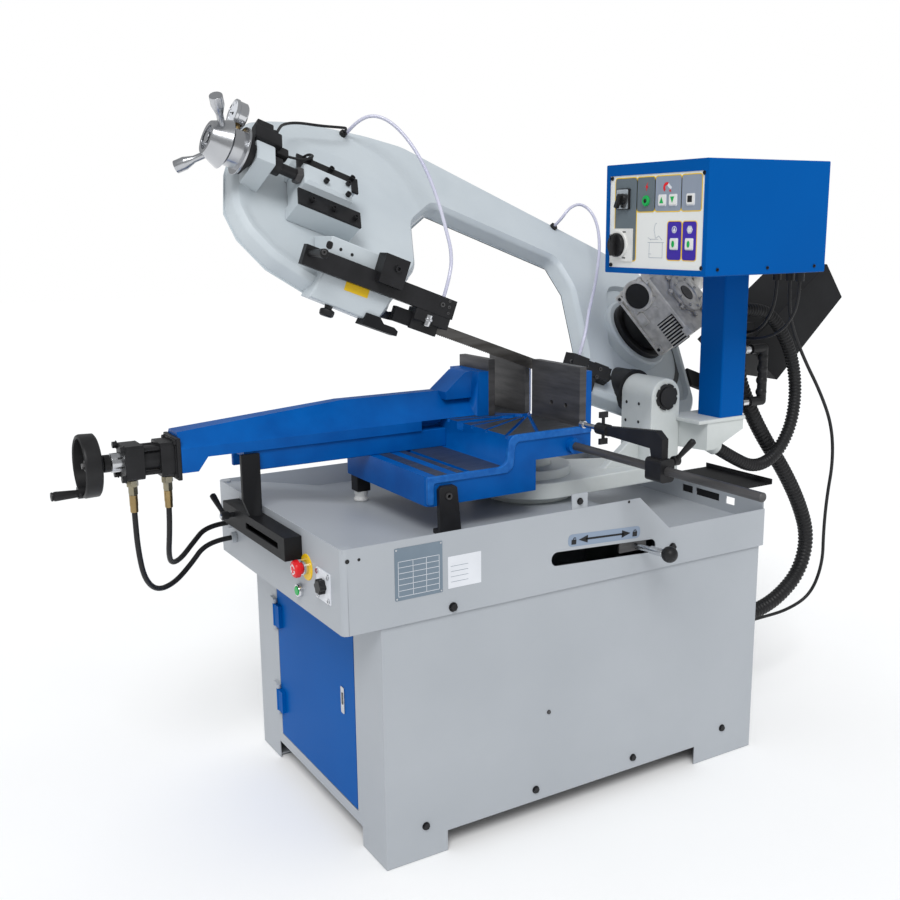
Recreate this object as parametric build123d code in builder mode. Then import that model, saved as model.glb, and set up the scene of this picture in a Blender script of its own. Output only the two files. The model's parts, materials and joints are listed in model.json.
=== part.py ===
"""Metal cutting band saw with a swivelling, tilting bow, a sliding vise and a coolant cabinet.

Frame: origin on the floor at the centre of the four foot bolts, +X along the front face to the
right, +Y to the rear, +Z up. The pose is the photographed one: the bow raised, the vise open.
"""

import os
from math import asin, atan2, cos, pi, radians, sin, sqrt, tan

from build123d import *

os.makedirs("parts", exist_ok=True)

# Clearances
RUNNING = 0.05  # radial play of a shaft or pin in its bore
SLIDING = 0.3  # gap between faces of bodies that slide or turn on each other
SEAT = 0.02  # play of a fixed shaft in its own seat

# Cabinet and its feet
CABINET_LENGTH = 1132
CABINET_DEPTH = 744
CABINET_HEIGHT = 578
SHEET = 3
TOP_FLANGE = 34
KICK_HEIGHT = 50
FOOT_LENGTH_LEFT = 160
FOOT_LENGTH_RIGHT = 206
FOOT_SIDE = 120
FOOT_PLATE = 110
FOOT_THICK = 6
FOOT_HOLE_R = 7
FOOT_HOLE_INSET = 60

# Door in the left side
DOOR_WIDTH = 456
DOOR_BOTTOM = 82
DOOR_HEIGHT = 440
DOOR_GAP = 3
DOOR_FOLD = 18
HINGE_PIN_R = 3
HINGE_KNUCKLE_R = 6
HINGE_LENGTH = 60
HINGE_INSET = 70

# Coolant tray
TRAY_LEFT = -657.5
TRAY_RIGHT = 575
TRAY_HALF_DEPTH = 378
TRAY_RIM = CABINET_HEIGHT + 190
TRAY_FLOOR = CABINET_HEIGHT + 137
WELL_FLOOR = CABINET_HEIGHT + 62
WELL_START = 150
WELL_END = 232
FRONT_LOW_RIM = CABINET_HEIGHT + 100
RIGHT_LOW_RIM = CABINET_HEIGHT + 122
LOW_RIM_START = 142
LOW_RIM_END = 240
DECK_BREAK = (-559, CABINET_HEIGHT + 174)
DECK_FOLD = (-373, TRAY_FLOOR)
SLOT_LEFT = -105
SLOT_RIGHT = 180
SLOT_HEIGHT = CABINET_HEIGHT + 70
SLOT_WIDTH = 34
SLOT_TILT = -2.9

# Turntable and swivel
SWIVEL_X = 63
BLADE_Y = -18
TURNTABLE_R = 117
TURNTABLE_TOP = CABINET_HEIGHT + 155
COLUMN_R = 60
SWIVEL_RING_R = 150
SWIVEL_ARM_TOP = CABINET_HEIGHT + 198
SCALE_RING_R = 112
SCALE_RING_TOP = CABINET_HEIGHT + 222

# Vise bed and jaws
TABLE_TOP = CABINET_HEIGHT + 352
STEP_TOP = CABINET_HEIGHT + 279
BED_BOTTOM = CABINET_HEIGHT + 208
TABLE_BOTTOM = CABINET_HEIGHT + 284
BED_LEFT = -370
TABLE_LEFT = -148
TABLE_RIGHT = 101
BED_FRONT = -235
BED_REAR = 200
BED_HIGH_FROM = -66
BED_WALL = 18
JAW_FACE = 63
JAW_PLATE = 20
JAW_HEIGHT = 148
JAW_BACKING = 18
BLADE_SLOT = 30
SLOT_DEPTH = 20
SWIVEL_LIMIT = 45
JAW_FLARE = 3  # room between the swivelled blade and the jaws behind their faces
GROOVES = (-45, -30, -15, 15, 30, 45, 60)
GROOVE_WIDTH = 9
GROOVE_BACK = 60  # how far a groove that the blade swings to runs on behind the axis
GROOVE_DEPTH = 8

# Vise slide
VISE_Y = 98
VISE_Z = CABINET_HEIGHT + 328
JAW_OPENING = 77
RAIL_HALF = 46
RAIL_LEFT = -700
BEAM_LEFT = -850
BEAM_HALF = 52
BEAM_TOP_LEFT = CABINET_HEIGHT + 386
BEAM_TOP_RIGHT = CABINET_HEIGHT + 418
TONGUE_HALF = 18
TONGUE_HEIGHT = 22
HOOK_LENGTH = 62
HOOK_DROP = 32
CYLINDER_BLOCK = 78
CYLINDER_BLOCK_LENGTH = 43
CYLINDER_TUBE_R = 31
CYLINDER_TUBE_LENGTH = 37
CYLINDER_FLANGE = 12
COLLAR_R = 22
COLLAR_LENGTH = 25
SPINDLE_R = 12
HANDWHEEL_R = 72
HANDWHEEL_RIM = 30
HANDWHEEL_GAP = 28
CRANK_RADIUS = 60
GRIP_R = 11
GRIP_LENGTH = 76
HOSE_D = 13
FITTING_R = 9
FITTING_LENGTH = 38

# Support under the far end of the vise
CHANNEL_DEPTH = 42
CHANNEL_TOP = CABINET_HEIGHT + 172
CHANNEL_HEIGHT = 54
CHANNEL_FRONT = -174
CHANNEL_REAR = 227
SUPPORT_PLATE = 13
LEVER_LENGTH = 62

# Length stop
STOP_ROD_R = 10
STOP_ROD_Z = CABINET_HEIGHT + 308
STOP_ROD_X = 42
STOP_ROD_LENGTH = 640
STOP_CLAMP_Y = -555
STOP_CLAMP_SIDE = 52
STOP_PIN_R = 6

# Mitre lock lever
MITRE_ANGLE = 12
MITRE_ROD_R = 7
MITRE_REACH = 462
MITRE_Z = CABINET_HEIGHT + 68
MITRE_KNOB_R = 20
MITRE_PIN_R = 14
MITRE_HUB_R = 26
MITRE_HUB = 36

# Pivot of the bow
PIVOT_X = 415
PIVOT_Z = CABINET_HEIGHT + 385
PIVOT_R = 25
HOUSING_R = 50
HOUSING_FRONT = -160
HOUSING_REAR = -34
PIVOT_CAP_R = 36
THRUST_R = 60
THRUST_WIDTH = 18

# Post and control box
POST_SIDE = 87
POST_WALL = 4
POST_X = 532
POST_Y = -245
SHELF_TOP = CABINET_HEIGHT + 327
BOX_LEFT = 270
BOX_LENGTH = 407
BOX_FRONT = -439
BOX_WIDTH = 369
BOX_BOTTOM = CABINET_HEIGHT + 718
BOX_HEIGHT = 271
BOX_WALL = 2
BOX_RIM = 14
PANEL_THICK = 3

# Bow: raised about the pivot, its plane leaning back
RAISE = 20.5
LEAN = 40
BLADE_DROP = 25
BOW_DEPTH = 49
BOW_WEB = 11
RECESS_DEPTH = 5
BOW_WALL = 8
COVER_SHEET = 2
WHEEL_R = 200
WHEEL_B = 258
DRIVE_A = 86
IDLER_A = -978
WHEEL_WIDTH = 26
WHEEL_GAP = 2
BLADE_WIDTH = 27
BLADE_THICK = 0.9
GUIDE_LEFT_A = -752
GUIDE_RIGHT_A = -194
AXLE_R = 20
SCREW_C = 62
SCREW_R = 13
TENSION_TRAVEL = 12
SCREW_GRIP = 60
BOSS_R = 112
BOSS_HEIGHT = 20
DRIVE_RING_R = 94
DRIVE_RING = 16
GEAR_THICK = 126
GEAR_GAP = 50
GEAR_HALF = 98
WORM_OFFSET = 72
MOTOR_R = 78
MOTOR_LENGTH = 235

# Conduits and the cable to the cabinet
MAIN_D = 44
MAIN_Y = -178
MAIN_Z = 296
LOOP_D = 36
LOOP_Y = -222
CABLE_D = 9
CABLE_Y = -300
CABLE_Z = 330
CABINET_GLAND = 16

# Derived planes of the bow: a along the blade, b across it, c out of the bow's front face
raise_sin, raise_cos = sin(radians(RAISE)), cos(radians(RAISE))
lean_sin, lean_cos = sin(radians(LEAN)), cos(radians(LEAN))
ALONG = Vector(raise_cos, 0, -raise_sin)
OUT = Vector(raise_sin * lean_sin, -lean_cos, raise_cos * lean_sin)
BOW_ORIGIN = Vector(
    PIVOT_X - BLADE_DROP * raise_sin, BLADE_Y, PIVOT_Z - BLADE_DROP * raise_cos
)
BOW = Plane(origin=BOW_ORIGIN, x_dir=ALONG, z_dir=OUT)
GUIDE = Plane(origin=BOW_ORIGIN, x_dir=ALONG, z_dir=(0, -1, 0))
WHEEL_C = -BOW_WEB - WHEEL_GAP - WHEEL_WIDTH / 2

MIN_Z = (Align.CENTER, Align.CENTER, Align.MIN)


def block(x, y, z, mode=Mode.ADD):
    """A block between two limits along each axis."""
    with Locations(((x[0] + x[1]) / 2, (y[0] + y[1]) / 2, (z[0] + z[1]) / 2)):
        Box(x[1] - x[0], y[1] - y[0], z[1] - z[0], mode=mode)


def rod(start, direction, radius, length, mode=Mode.ADD):
    """A cylinder from a point along a direction."""
    with Locations(Plane(origin=start, z_dir=direction)):
        Cylinder(radius, length, align=MIN_Z, mode=mode)


def slab(plane, points, amount, mode=Mode.ADD):
    """A polygon drawn on a plane and extruded."""
    with BuildSketch(plane) as outline:
        with BuildLine():
            Polyline(*points, close=True)
        make_face()
    extrude(outline.sketch, amount=amount, mode=mode)


def write(part, name):
    """Label one finished piece and write its file."""
    part.part.label = name
    export_step(part.part, f"parts/{name}.step")


def cord_path(points):
    """Straight runs joined by arcs as large as the runs allow, with the radii printed."""
    vectors = [Vector(*p) for p in points]
    radii = []
    for before, here, after in zip(vectors, vectors[1:], vectors[2:]):
        turn = radians((here - before).get_angle(after - here))
        shorter = min((here - before).length, (after - here).length)
        radii.append(0.45 * shorter / tan(turn / 2))
    return vectors, radii


def cord(points, diameter, name):
    """A plain round cord along a route."""
    vectors, radii = cord_path(points)
    with BuildPart() as tube:
        with BuildLine() as path:
            FilletPolyline(*vectors, radius=radii)
        spine = path.wires()[0]
        with BuildSketch(Plane(origin=spine @ 0, z_dir=spine % 0)):
            Circle(diameter / 2)
        sweep(path=spine)
    ideal = pi * diameter**2 / 4 * spine.length
    print(
        f"{name}: radii {[round(r) for r in radii]}, length {spine.length:.0f},"
        f" volume ratio {tube.part.volume / ideal:.4f}"
    )
    write(tube, name)


# Cabinet: four sheet walls on corner feet, open at the top under the tray
half_x, half_y = CABINET_LENGTH / 2, CABINET_DEPTH / 2
door_half = DOOR_WIDTH / 2
door_top = DOOR_BOTTOM + DOOR_HEIGHT
hinge_x = -half_x - HINGE_KNUCKLE_R
hinge_y = door_half + DOOR_GAP
hinge_heights = (DOOR_BOTTOM + HINGE_INSET, door_top - HINGE_INSET - HINGE_LENGTH)
with BuildPart() as cabinet:
    block((-half_x, half_x), (-half_y, half_y), (0, CABINET_HEIGHT))
    block(
        (-half_x + SHEET, half_x - SHEET),
        (-half_y + SHEET, half_y - SHEET),
        (0, CABINET_HEIGHT - SHEET),
        Mode.SUBTRACT,
    )
    block(
        (-half_x + TOP_FLANGE, half_x - TOP_FLANGE),
        (-half_y + TOP_FLANGE, half_y - TOP_FLANGE),
        (0, CABINET_HEIGHT),
        Mode.SUBTRACT,
    )
    block(
        (-half_x + FOOT_LENGTH_LEFT, half_x - FOOT_LENGTH_RIGHT),
        (-half_y, half_y),
        (0, KICK_HEIGHT),
        Mode.SUBTRACT,
    )
    block(
        (-half_x, half_x),
        (-half_y + FOOT_SIDE, half_y - FOOT_SIDE),
        (0, KICK_HEIGHT),
        Mode.SUBTRACT,
    )
    block(
        (-half_x, -half_x + SHEET),
        (-door_half - DOOR_GAP, door_half + DOOR_GAP),
        (DOOR_BOTTOM - DOOR_GAP, door_top + DOOR_GAP),
        Mode.SUBTRACT,
    )
    with Locations(
        *[
            (sx * (half_x - FOOT_PLATE / 2), sy * (half_y - FOOT_PLATE / 2), 0)
            for sx in (-1, 1)
            for sy in (-1, 1)
        ]
    ):
        Box(FOOT_PLATE, FOOT_PLATE, FOOT_THICK, align=MIN_Z)
    with Locations((0, 0, FOOT_THICK)):
        with GridLocations(
            CABINET_LENGTH - 2 * FOOT_HOLE_INSET, CABINET_DEPTH - 2 * FOOT_HOLE_INSET, 2, 2
        ):
            Hole(FOOT_HOLE_R, depth=FOOT_THICK)
    for height in hinge_heights:
        block(
            (hinge_x - 2, -half_x),
            (hinge_y + HINGE_KNUCKLE_R + 1, hinge_y + 30),
            (height - 12, height + HINGE_LENGTH + 12),
        )
        for low in (height - 12, height + HINGE_LENGTH + 1):
            rod((hinge_x, hinge_y, low), (0, 0, 1), HINGE_KNUCKLE_R, 11)
            block((hinge_x, -half_x), (hinge_y, hinge_y + HINGE_KNUCKLE_R + 2), (low, low + 11))
        rod((hinge_x, hinge_y, height - 12), (0, 0, 1), HINGE_PIN_R, HINGE_LENGTH + 24)
    rod((half_x, MAIN_Y, MAIN_Z), (1, 0, 0), MAIN_D / 2 + 6, CABINET_GLAND)
    rod((half_x, CABLE_Y, CABLE_Z), (1, 0, 0), 12, CABINET_GLAND)
write(cabinet, "cabinet")

# Door: a folded sheet that hangs on two knuckles
door_face = -half_x
with BuildPart() as door:
    block((door_face, door_face + DOOR_FOLD), (-door_half, door_half), (DOOR_BOTTOM, door_top))
    block(
        (door_face + SHEET, door_face + DOOR_FOLD),
        (-door_half + SHEET, door_half - SHEET),
        (DOOR_BOTTOM + SHEET, door_top - SHEET),
        Mode.SUBTRACT,
    )
    for height in hinge_heights:
        rod((hinge_x, hinge_y, height), (0, 0, 1), HINGE_KNUCKLE_R, HINGE_LENGTH)
        block(
            (hinge_x - HINGE_KNUCKLE_R + 2, door_face),
            (door_half - 30, hinge_y),
            (height, height + HINGE_LENGTH),
        )
        rod(
            (hinge_x, hinge_y, height),
            (0, 0, 1),
            HINGE_PIN_R + RUNNING,
            HINGE_LENGTH,
            Mode.SUBTRACT,
        )
write(door, "cabinet_door")

# Tray: rim walls, a folded floor with a sloping deck on the left and a chip well on the right
rim_left, rim_right = TRAY_LEFT + SHEET, TRAY_RIGHT - SHEET
rim_half = TRAY_HALF_DEPTH - SHEET
floor_line = [
    (rim_left, TRAY_RIM - 4),
    DECK_BREAK,
    DECK_FOLD,
    (WELL_START, TRAY_FLOOR),
    (WELL_END, WELL_FLOOR),
    (rim_right, WELL_FLOOR),
]
floor_under = [(x, z - SHEET) for x, z in reversed(floor_line)]
STATION_X = TRAY_LEFT
ESTOP = (-198, CABINET_HEIGHT + 106)
START = (-158, CABINET_HEIGHT + 41)
REGULATOR = (-287, CABINET_HEIGHT + 88)
BUTTON_HOLE_R = 11
GLAND_LOW = (259, CABINET_HEIGHT + 62)
GLAND_HIGH = (280, CABINET_HEIGHT + 97)
GLAND_R = 14
GLAND_LENGTH = 14
END_LIP = 2  # how far a cord's end face overlaps the rim it meets
WALL_CUTS = ((-110, -68), (-214, -124), (-272, -240))
WALL_CUT_Z = (WELL_FLOOR + 23, WELL_FLOOR + 44)
with BuildPart() as tray:
    block((TRAY_LEFT, TRAY_RIGHT), (-TRAY_HALF_DEPTH, TRAY_HALF_DEPTH), (CABINET_HEIGHT, TRAY_RIM))
    fillet(tray.edges().filter_by(Axis.Z).group_by(Axis.X)[0], radius=14)
    block((rim_left, rim_right), (-rim_half, rim_half), (CABINET_HEIGHT, TRAY_RIM), Mode.SUBTRACT)
    slab(Plane.XZ.offset(-rim_half), floor_line + floor_under, 2 * rim_half)
    block(
        (rim_left, -half_x + TOP_FLANGE),
        (-rim_half, rim_half),
        (CABINET_HEIGHT, CABINET_HEIGHT + SHEET),
    )
    slab(
        Plane.XZ.offset(rim_half - 1),
        [
            (LOW_RIM_START, TRAY_RIM + 1),
            (LOW_RIM_END, FRONT_LOW_RIM),
            (TRAY_RIGHT + 1, FRONT_LOW_RIM),
            (TRAY_RIGHT + 1, TRAY_RIM + 1),
        ],
        SHEET + 2,
        Mode.SUBTRACT,
    )
    block(
        (rim_right - 1, TRAY_RIGHT + 1),
        (-TRAY_HALF_DEPTH, rim_half - 1),
        (RIGHT_LOW_RIM, TRAY_RIM + 1),
        Mode.SUBTRACT,
    )
    for low, high in WALL_CUTS:
        block((rim_right - 1, TRAY_RIGHT + 1), (low, high), WALL_CUT_Z, Mode.SUBTRACT)
    with BuildSketch(Plane.XZ.offset(rim_half - 1)) as slot_outline:
        with Locations(Location(((SLOT_LEFT + SLOT_RIGHT) / 2, SLOT_HEIGHT), SLOT_TILT)):
            SlotOverall(SLOT_RIGHT - SLOT_LEFT + SLOT_WIDTH, SLOT_WIDTH)
    extrude(slot_outline.sketch, amount=SHEET + 2, mode=Mode.SUBTRACT)
    block((-62, -16), (-rim_half, -rim_half + SHEET), (TRAY_RIM - 20, TRAY_RIM + 36))
    rod((-39, -rim_half - 1, TRAY_RIM + 17), (0, 1, 0), 5, SHEET + 2, Mode.SUBTRACT)
    for y, z in (ESTOP, START, REGULATOR):
        rod((TRAY_LEFT - 1, y, z), (1, 0, 0), BUTTON_HOLE_R, SHEET + 2, Mode.SUBTRACT)
    rod(
        (SWIVEL_X, BLADE_Y, WELL_FLOOR), (0, 0, 1), MITRE_PIN_R + SEAT, TRAY_RIM, Mode.SUBTRACT
    )
    for y, z in (GLAND_LOW, GLAND_HIGH):
        rod((TRAY_LEFT - GLAND_LENGTH, y, z), (1, 0, 0), GLAND_R, GLAND_LENGTH + SHEET)
        rod(
            (TRAY_LEFT - GLAND_LENGTH, y, z),
            (1, 0, 0),
            HOSE_D / 2 - END_LIP,
            GLAND_LENGTH + SHEET,
            Mode.SUBTRACT,
        )
write(tray, "tray")

# Buttons on the left face of the tray
BUTTON_SHAFT = 34
with BuildPart() as estop:
    rod((STATION_X - 12, *ESTOP), (1, 0, 0), BUTTON_HOLE_R - SLIDING, BUTTON_SHAFT)
    rod((STATION_X - 34, *ESTOP), (1, 0, 0), 20, 22)
    fillet(estop.faces().sort_by(Axis.X)[0].edges(), radius=6)
write(estop, "estop_button")
with BuildPart() as start_button:
    rod((STATION_X - 12, *START), (1, 0, 0), BUTTON_HOLE_R - SLIDING, BUTTON_SHAFT)
    fillet(start_button.faces().sort_by(Axis.X)[0].edges(), radius=1.5)
write(start_button, "start_button")
with BuildPart() as regulator:
    rod((STATION_X - 12, *REGULATOR), (1, 0, 0), BUTTON_HOLE_R - SLIDING, BUTTON_SHAFT)
    rod((STATION_X - 26, *REGULATOR), (1, 0, 0), 20, 20)
    for turn in range(12):
        angle = radians(30 * turn)
        rod(
            (STATION_X - 27, REGULATOR[0] + 22 * cos(angle), REGULATOR[1] + 22 * sin(angle)),
            (1, 0, 0),
            4,
            22,
            Mode.SUBTRACT,
        )
write(regulator, "regulator_knob")

# Chip shelf on the right side of the tray
SHELF_REACH = 185
SHELF_Y = (-232, 30)
SHELF_LOW = WELL_FLOOR
SHELF_SEAT = RIGHT_LOW_RIM - 10
SHELF_LIP = 16
shelf_end = TRAY_RIGHT + SHELF_REACH
with BuildPart() as shelf:
    block((TRAY_RIGHT, shelf_end), SHELF_Y, (SHELF_SEAT, SHELF_SEAT + SHEET))
    block((TRAY_RIGHT, TRAY_RIGHT + SHEET), SHELF_Y, (SHELF_LOW, SHELF_SEAT))
    block((shelf_end - SHEET, shelf_end), SHELF_Y, (SHELF_SEAT, SHELF_SEAT + SHELF_LIP))
write(shelf, "chip_shelf")

# Coolant tank with its pump and the hydraulic power pack, on the cabinet floor
with BuildPart() as power_pack:
    block((60, 480), (-250, 250), (KICK_HEIGHT + 4, 240))
    block((64, 476), (-246, 246), (KICK_HEIGHT + 8, 240), Mode.SUBTRACT)
    block((58, 482), (-252, 252), (240, 244))
    rod((180, 120, 244), (0, 0, 1), 60, 160)
    rod((180, 120, 90), (0, 0, 1), 45, 150)
    block((-360, -60), (-180, 180), (KICK_HEIGHT + 4, 260))
    rod((-210, 0, 260), (0, 0, 1), 75, 210)
    block((KICK_HEIGHT - 450, 520), (-half_y + SHEET, half_y - SHEET), (KICK_HEIGHT, KICK_HEIGHT + 4))
write(power_pack, "power_pack")

# Turntable base: a disc on the tray floor, the column of the bed and the pin of the mitre lever
pin_low = MITRE_Z - MITRE_HUB / 2 - 12
with BuildPart() as turntable:
    rod((SWIVEL_X, BLADE_Y, TRAY_FLOOR), (0, 0, 1), TURNTABLE_R, TURNTABLE_TOP - TRAY_FLOOR)
    rod((SWIVEL_X, BLADE_Y, TRAY_FLOOR), (0, 0, 1), COLUMN_R, TABLE_BOTTOM - TRAY_FLOOR)
    rod((SWIVEL_X, BLADE_Y, pin_low), (0, 0, 1), MITRE_PIN_R, TRAY_FLOOR - pin_low)
    rod((SWIVEL_X, BLADE_Y, pin_low), (0, 0, 1), MITRE_PIN_R + 6, 12 - SLIDING)
write(turntable, "turntable_base")

# Mitre lock lever: a hub on the pin and a rod out through the slot
lever_dir = Vector(sin(radians(MITRE_ANGLE)), -cos(radians(MITRE_ANGLE)), 0)
lever_axis = Vector(SWIVEL_X, BLADE_Y, MITRE_Z)
lever_low = lever_axis - Vector(0, 0, MITRE_HUB / 2)
with BuildPart() as lever:
    rod(lever_low, (0, 0, 1), MITRE_HUB_R, MITRE_HUB)
    rod(lever_axis, lever_dir, MITRE_ROD_R, MITRE_REACH)
    rod(lever_low, (0, 0, 1), MITRE_PIN_R + RUNNING, MITRE_HUB, Mode.SUBTRACT)
    with Locations(lever_axis + lever_dir * MITRE_REACH):
        Sphere(MITRE_KNOB_R)
write(lever, "mitre_lever")

# Vise bed: a raised table on the column and a lower step that carries the rail
slot_y = (BLADE_Y - BLADE_SLOT / 2, BLADE_Y + BLADE_SLOT / 2)
JAW_REAR = 170
groove_reach = BED_REAR - BED_FRONT


def jaw_half(side, start, thick, edge, height):
    """One side of the fixed jaw in plan, its gap to the blade wider towards the back."""
    swing = radians(SWIVEL_LIMIT)
    depths = (start - JAW_FACE, start + thick - JAW_FACE)
    gaps = [max(BLADE_SLOT / 2, depth * tan(swing) + JAW_FLARE / cos(swing)) for depth in depths]
    near, far = BLADE_Y + side * gaps[0], BLADE_Y + side * gaps[1]
    plan = [(start, near), (start + thick, far), (start + thick, edge), (start, edge)]
    slab(Plane.XY.offset(TABLE_TOP), plan, height)


with BuildPart() as bed:
    block((TABLE_LEFT, TABLE_RIGHT), (BED_FRONT, BED_REAR), (TABLE_BOTTOM, TABLE_TOP))
    block((BED_LEFT, TABLE_LEFT), (BED_FRONT, BED_REAR), (BED_BOTTOM, STEP_TOP))
    block((TABLE_LEFT, BED_HIGH_FROM), (BED_FRONT, BED_REAR), (BED_BOTTOM, TABLE_BOTTOM))
    fillet(bed.edges().filter_by(Axis.Z).group_by(Axis.X)[0], radius=16)
    block(
        (BED_LEFT + BED_WALL, BED_HIGH_FROM - BED_WALL),
        (BED_FRONT + BED_WALL, BED_REAR - BED_WALL),
        (BED_BOTTOM, STEP_TOP - BED_WALL),
        Mode.SUBTRACT,
    )
    for low, high in ((BED_FRONT + BED_WALL, -95), (60, BED_REAR - BED_WALL)):
        block(
            (BED_HIGH_FROM + BED_WALL, TABLE_RIGHT - BED_WALL),
            (low, high),
            (TABLE_BOTTOM, TABLE_TOP - 24),
            Mode.SUBTRACT,
        )
    block((TABLE_LEFT, TABLE_RIGHT), slot_y, (TABLE_TOP - SLOT_DEPTH, TABLE_TOP), Mode.SUBTRACT)
    for swing in GROOVES:
        way = Vector(-cos(radians(swing)), -sin(radians(swing)), 0)
        back = GROOVE_BACK if abs(swing) <= SWIVEL_LIMIT else 0
        start = Vector(SWIVEL_X, BLADE_Y, TABLE_TOP) - way * back
        with Locations(Plane(origin=start, x_dir=way, z_dir=(0, 0, 1))):
            Box(
                groove_reach + back,
                GROOVE_WIDTH,
                2 * GROOVE_DEPTH,
                align=(Align.MIN, Align.CENTER, Align.CENTER),
                mode=Mode.SUBTRACT,
            )
    for side, edge in ((-1, BED_FRONT), (1, JAW_REAR)):
        jaw_half(side, JAW_FACE + JAW_PLATE, JAW_BACKING, edge, JAW_HEIGHT - 12)
    block((-268, -254), (BED_FRONT, BED_REAR), (STEP_TOP - 12, STEP_TOP), Mode.SUBTRACT)
    rod((STOP_ROD_X, BED_FRONT - 16, STOP_ROD_Z), (0, 1, 0), STOP_ROD_R + 9, 17)
    rod(
        (STOP_ROD_X, BED_FRONT - 16, STOP_ROD_Z),
        (0, 1, 0),
        STOP_ROD_R + SEAT,
        16 + BED_WALL,
        Mode.SUBTRACT,
    )
write(bed, "vise_bed")

# Legs of the bed on the tray floor
with BuildPart() as legs:
    slab(
        Plane.XZ.offset(-BED_FRONT - BED_WALL),
        [(-316, BED_BOTTOM), (-262, BED_BOTTOM), (-276, TRAY_FLOOR), (-308, TRAY_FLOOR)],
        BED_WALL,
    )
    rod((-335, BED_REAR - 22, TRAY_FLOOR + 12), (0, 0, 1), 9, BED_BOTTOM - TRAY_FLOOR - 12)
    rod((-335, BED_REAR - 22, TRAY_FLOOR + 6), (0, 0, 1), 20, 8)
    block((-365, -305), (BED_REAR - 44, BED_REAR - 4), (TRAY_FLOOR, TRAY_FLOOR + 6))
write(legs, "bed_legs")

# Fixed jaw plates, one each side of the blade
with BuildPart() as fixed_plates:
    for side, edge in ((-1, BED_FRONT - 2), (1, JAW_REAR)):
        jaw_half(side, JAW_FACE, JAW_PLATE, edge, JAW_HEIGHT)
    for y in (-180, -120):
        rod((JAW_FACE - 1, y, TABLE_TOP + 46), (1, 0, 0), 6, 12, Mode.SUBTRACT)
write(fixed_plates, "fixed_jaw_plates")

# Rail of the vise with a T tongue on top
RAIL_TOP = CABINET_HEIGHT + 327
STEM_HALF = 10
STEM_HEIGHT = 10
with BuildPart() as rail:
    block((RAIL_LEFT, TABLE_LEFT), (VISE_Y - RAIL_HALF, VISE_Y + RAIL_HALF), (STEP_TOP, RAIL_TOP))
    block(
        (RAIL_LEFT, TABLE_LEFT),
        (VISE_Y - STEM_HALF, VISE_Y + STEM_HALF),
        (RAIL_TOP, RAIL_TOP + STEM_HEIGHT),
    )
    block(
        (RAIL_LEFT, TABLE_LEFT),
        (VISE_Y - TONGUE_HALF, VISE_Y + TONGUE_HALF),
        (RAIL_TOP + STEM_HEIGHT, RAIL_TOP + TONGUE_HEIGHT),
    )
    block(
        (RAIL_LEFT, BED_LEFT - 4),
        (VISE_Y - RAIL_HALF + 12, VISE_Y + RAIL_HALF - 12),
        (STEP_TOP, RAIL_TOP - 14),
        Mode.SUBTRACT,
    )
write(rail, "vise_rail")

# Beam of the vise: rides on the rail, carries the cylinder and ends in the moving jaw
beam_front, beam_rear = VISE_Y - BEAM_HALF, VISE_Y + BEAM_HALF
beam_bottom = RAIL_TOP + SLIDING
beam_over_table = TABLE_TOP + SLIDING
BEAM_SHOULDER = CABINET_HEIGHT + 352
JAW_BACK = JAW_FACE - JAW_OPENING - JAW_PLATE
JAW_WALL = 30
JAW_TOP = CABINET_HEIGHT + 469
RIDGE_START = -427
LOW_BEAM_END = -224
MOVING_FRONT, MOVING_REAR = 25, 170
left_section = [
    (beam_front, beam_bottom),
    (beam_rear, beam_bottom),
    (beam_rear, BEAM_TOP_LEFT - 14),
    (beam_rear - 14, BEAM_TOP_LEFT),
    (beam_front + 30, BEAM_TOP_LEFT),
    (beam_front, BEAM_SHOULDER),
]
ridge_section = [
    (beam_front, beam_bottom),
    (beam_rear, beam_bottom),
    (beam_rear, BEAM_TOP_RIGHT - 14),
    (beam_rear - 14, BEAM_TOP_RIGHT),
    (beam_front + 58, BEAM_TOP_RIGHT),
    (beam_front, BEAM_SHOULDER),
]
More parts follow.
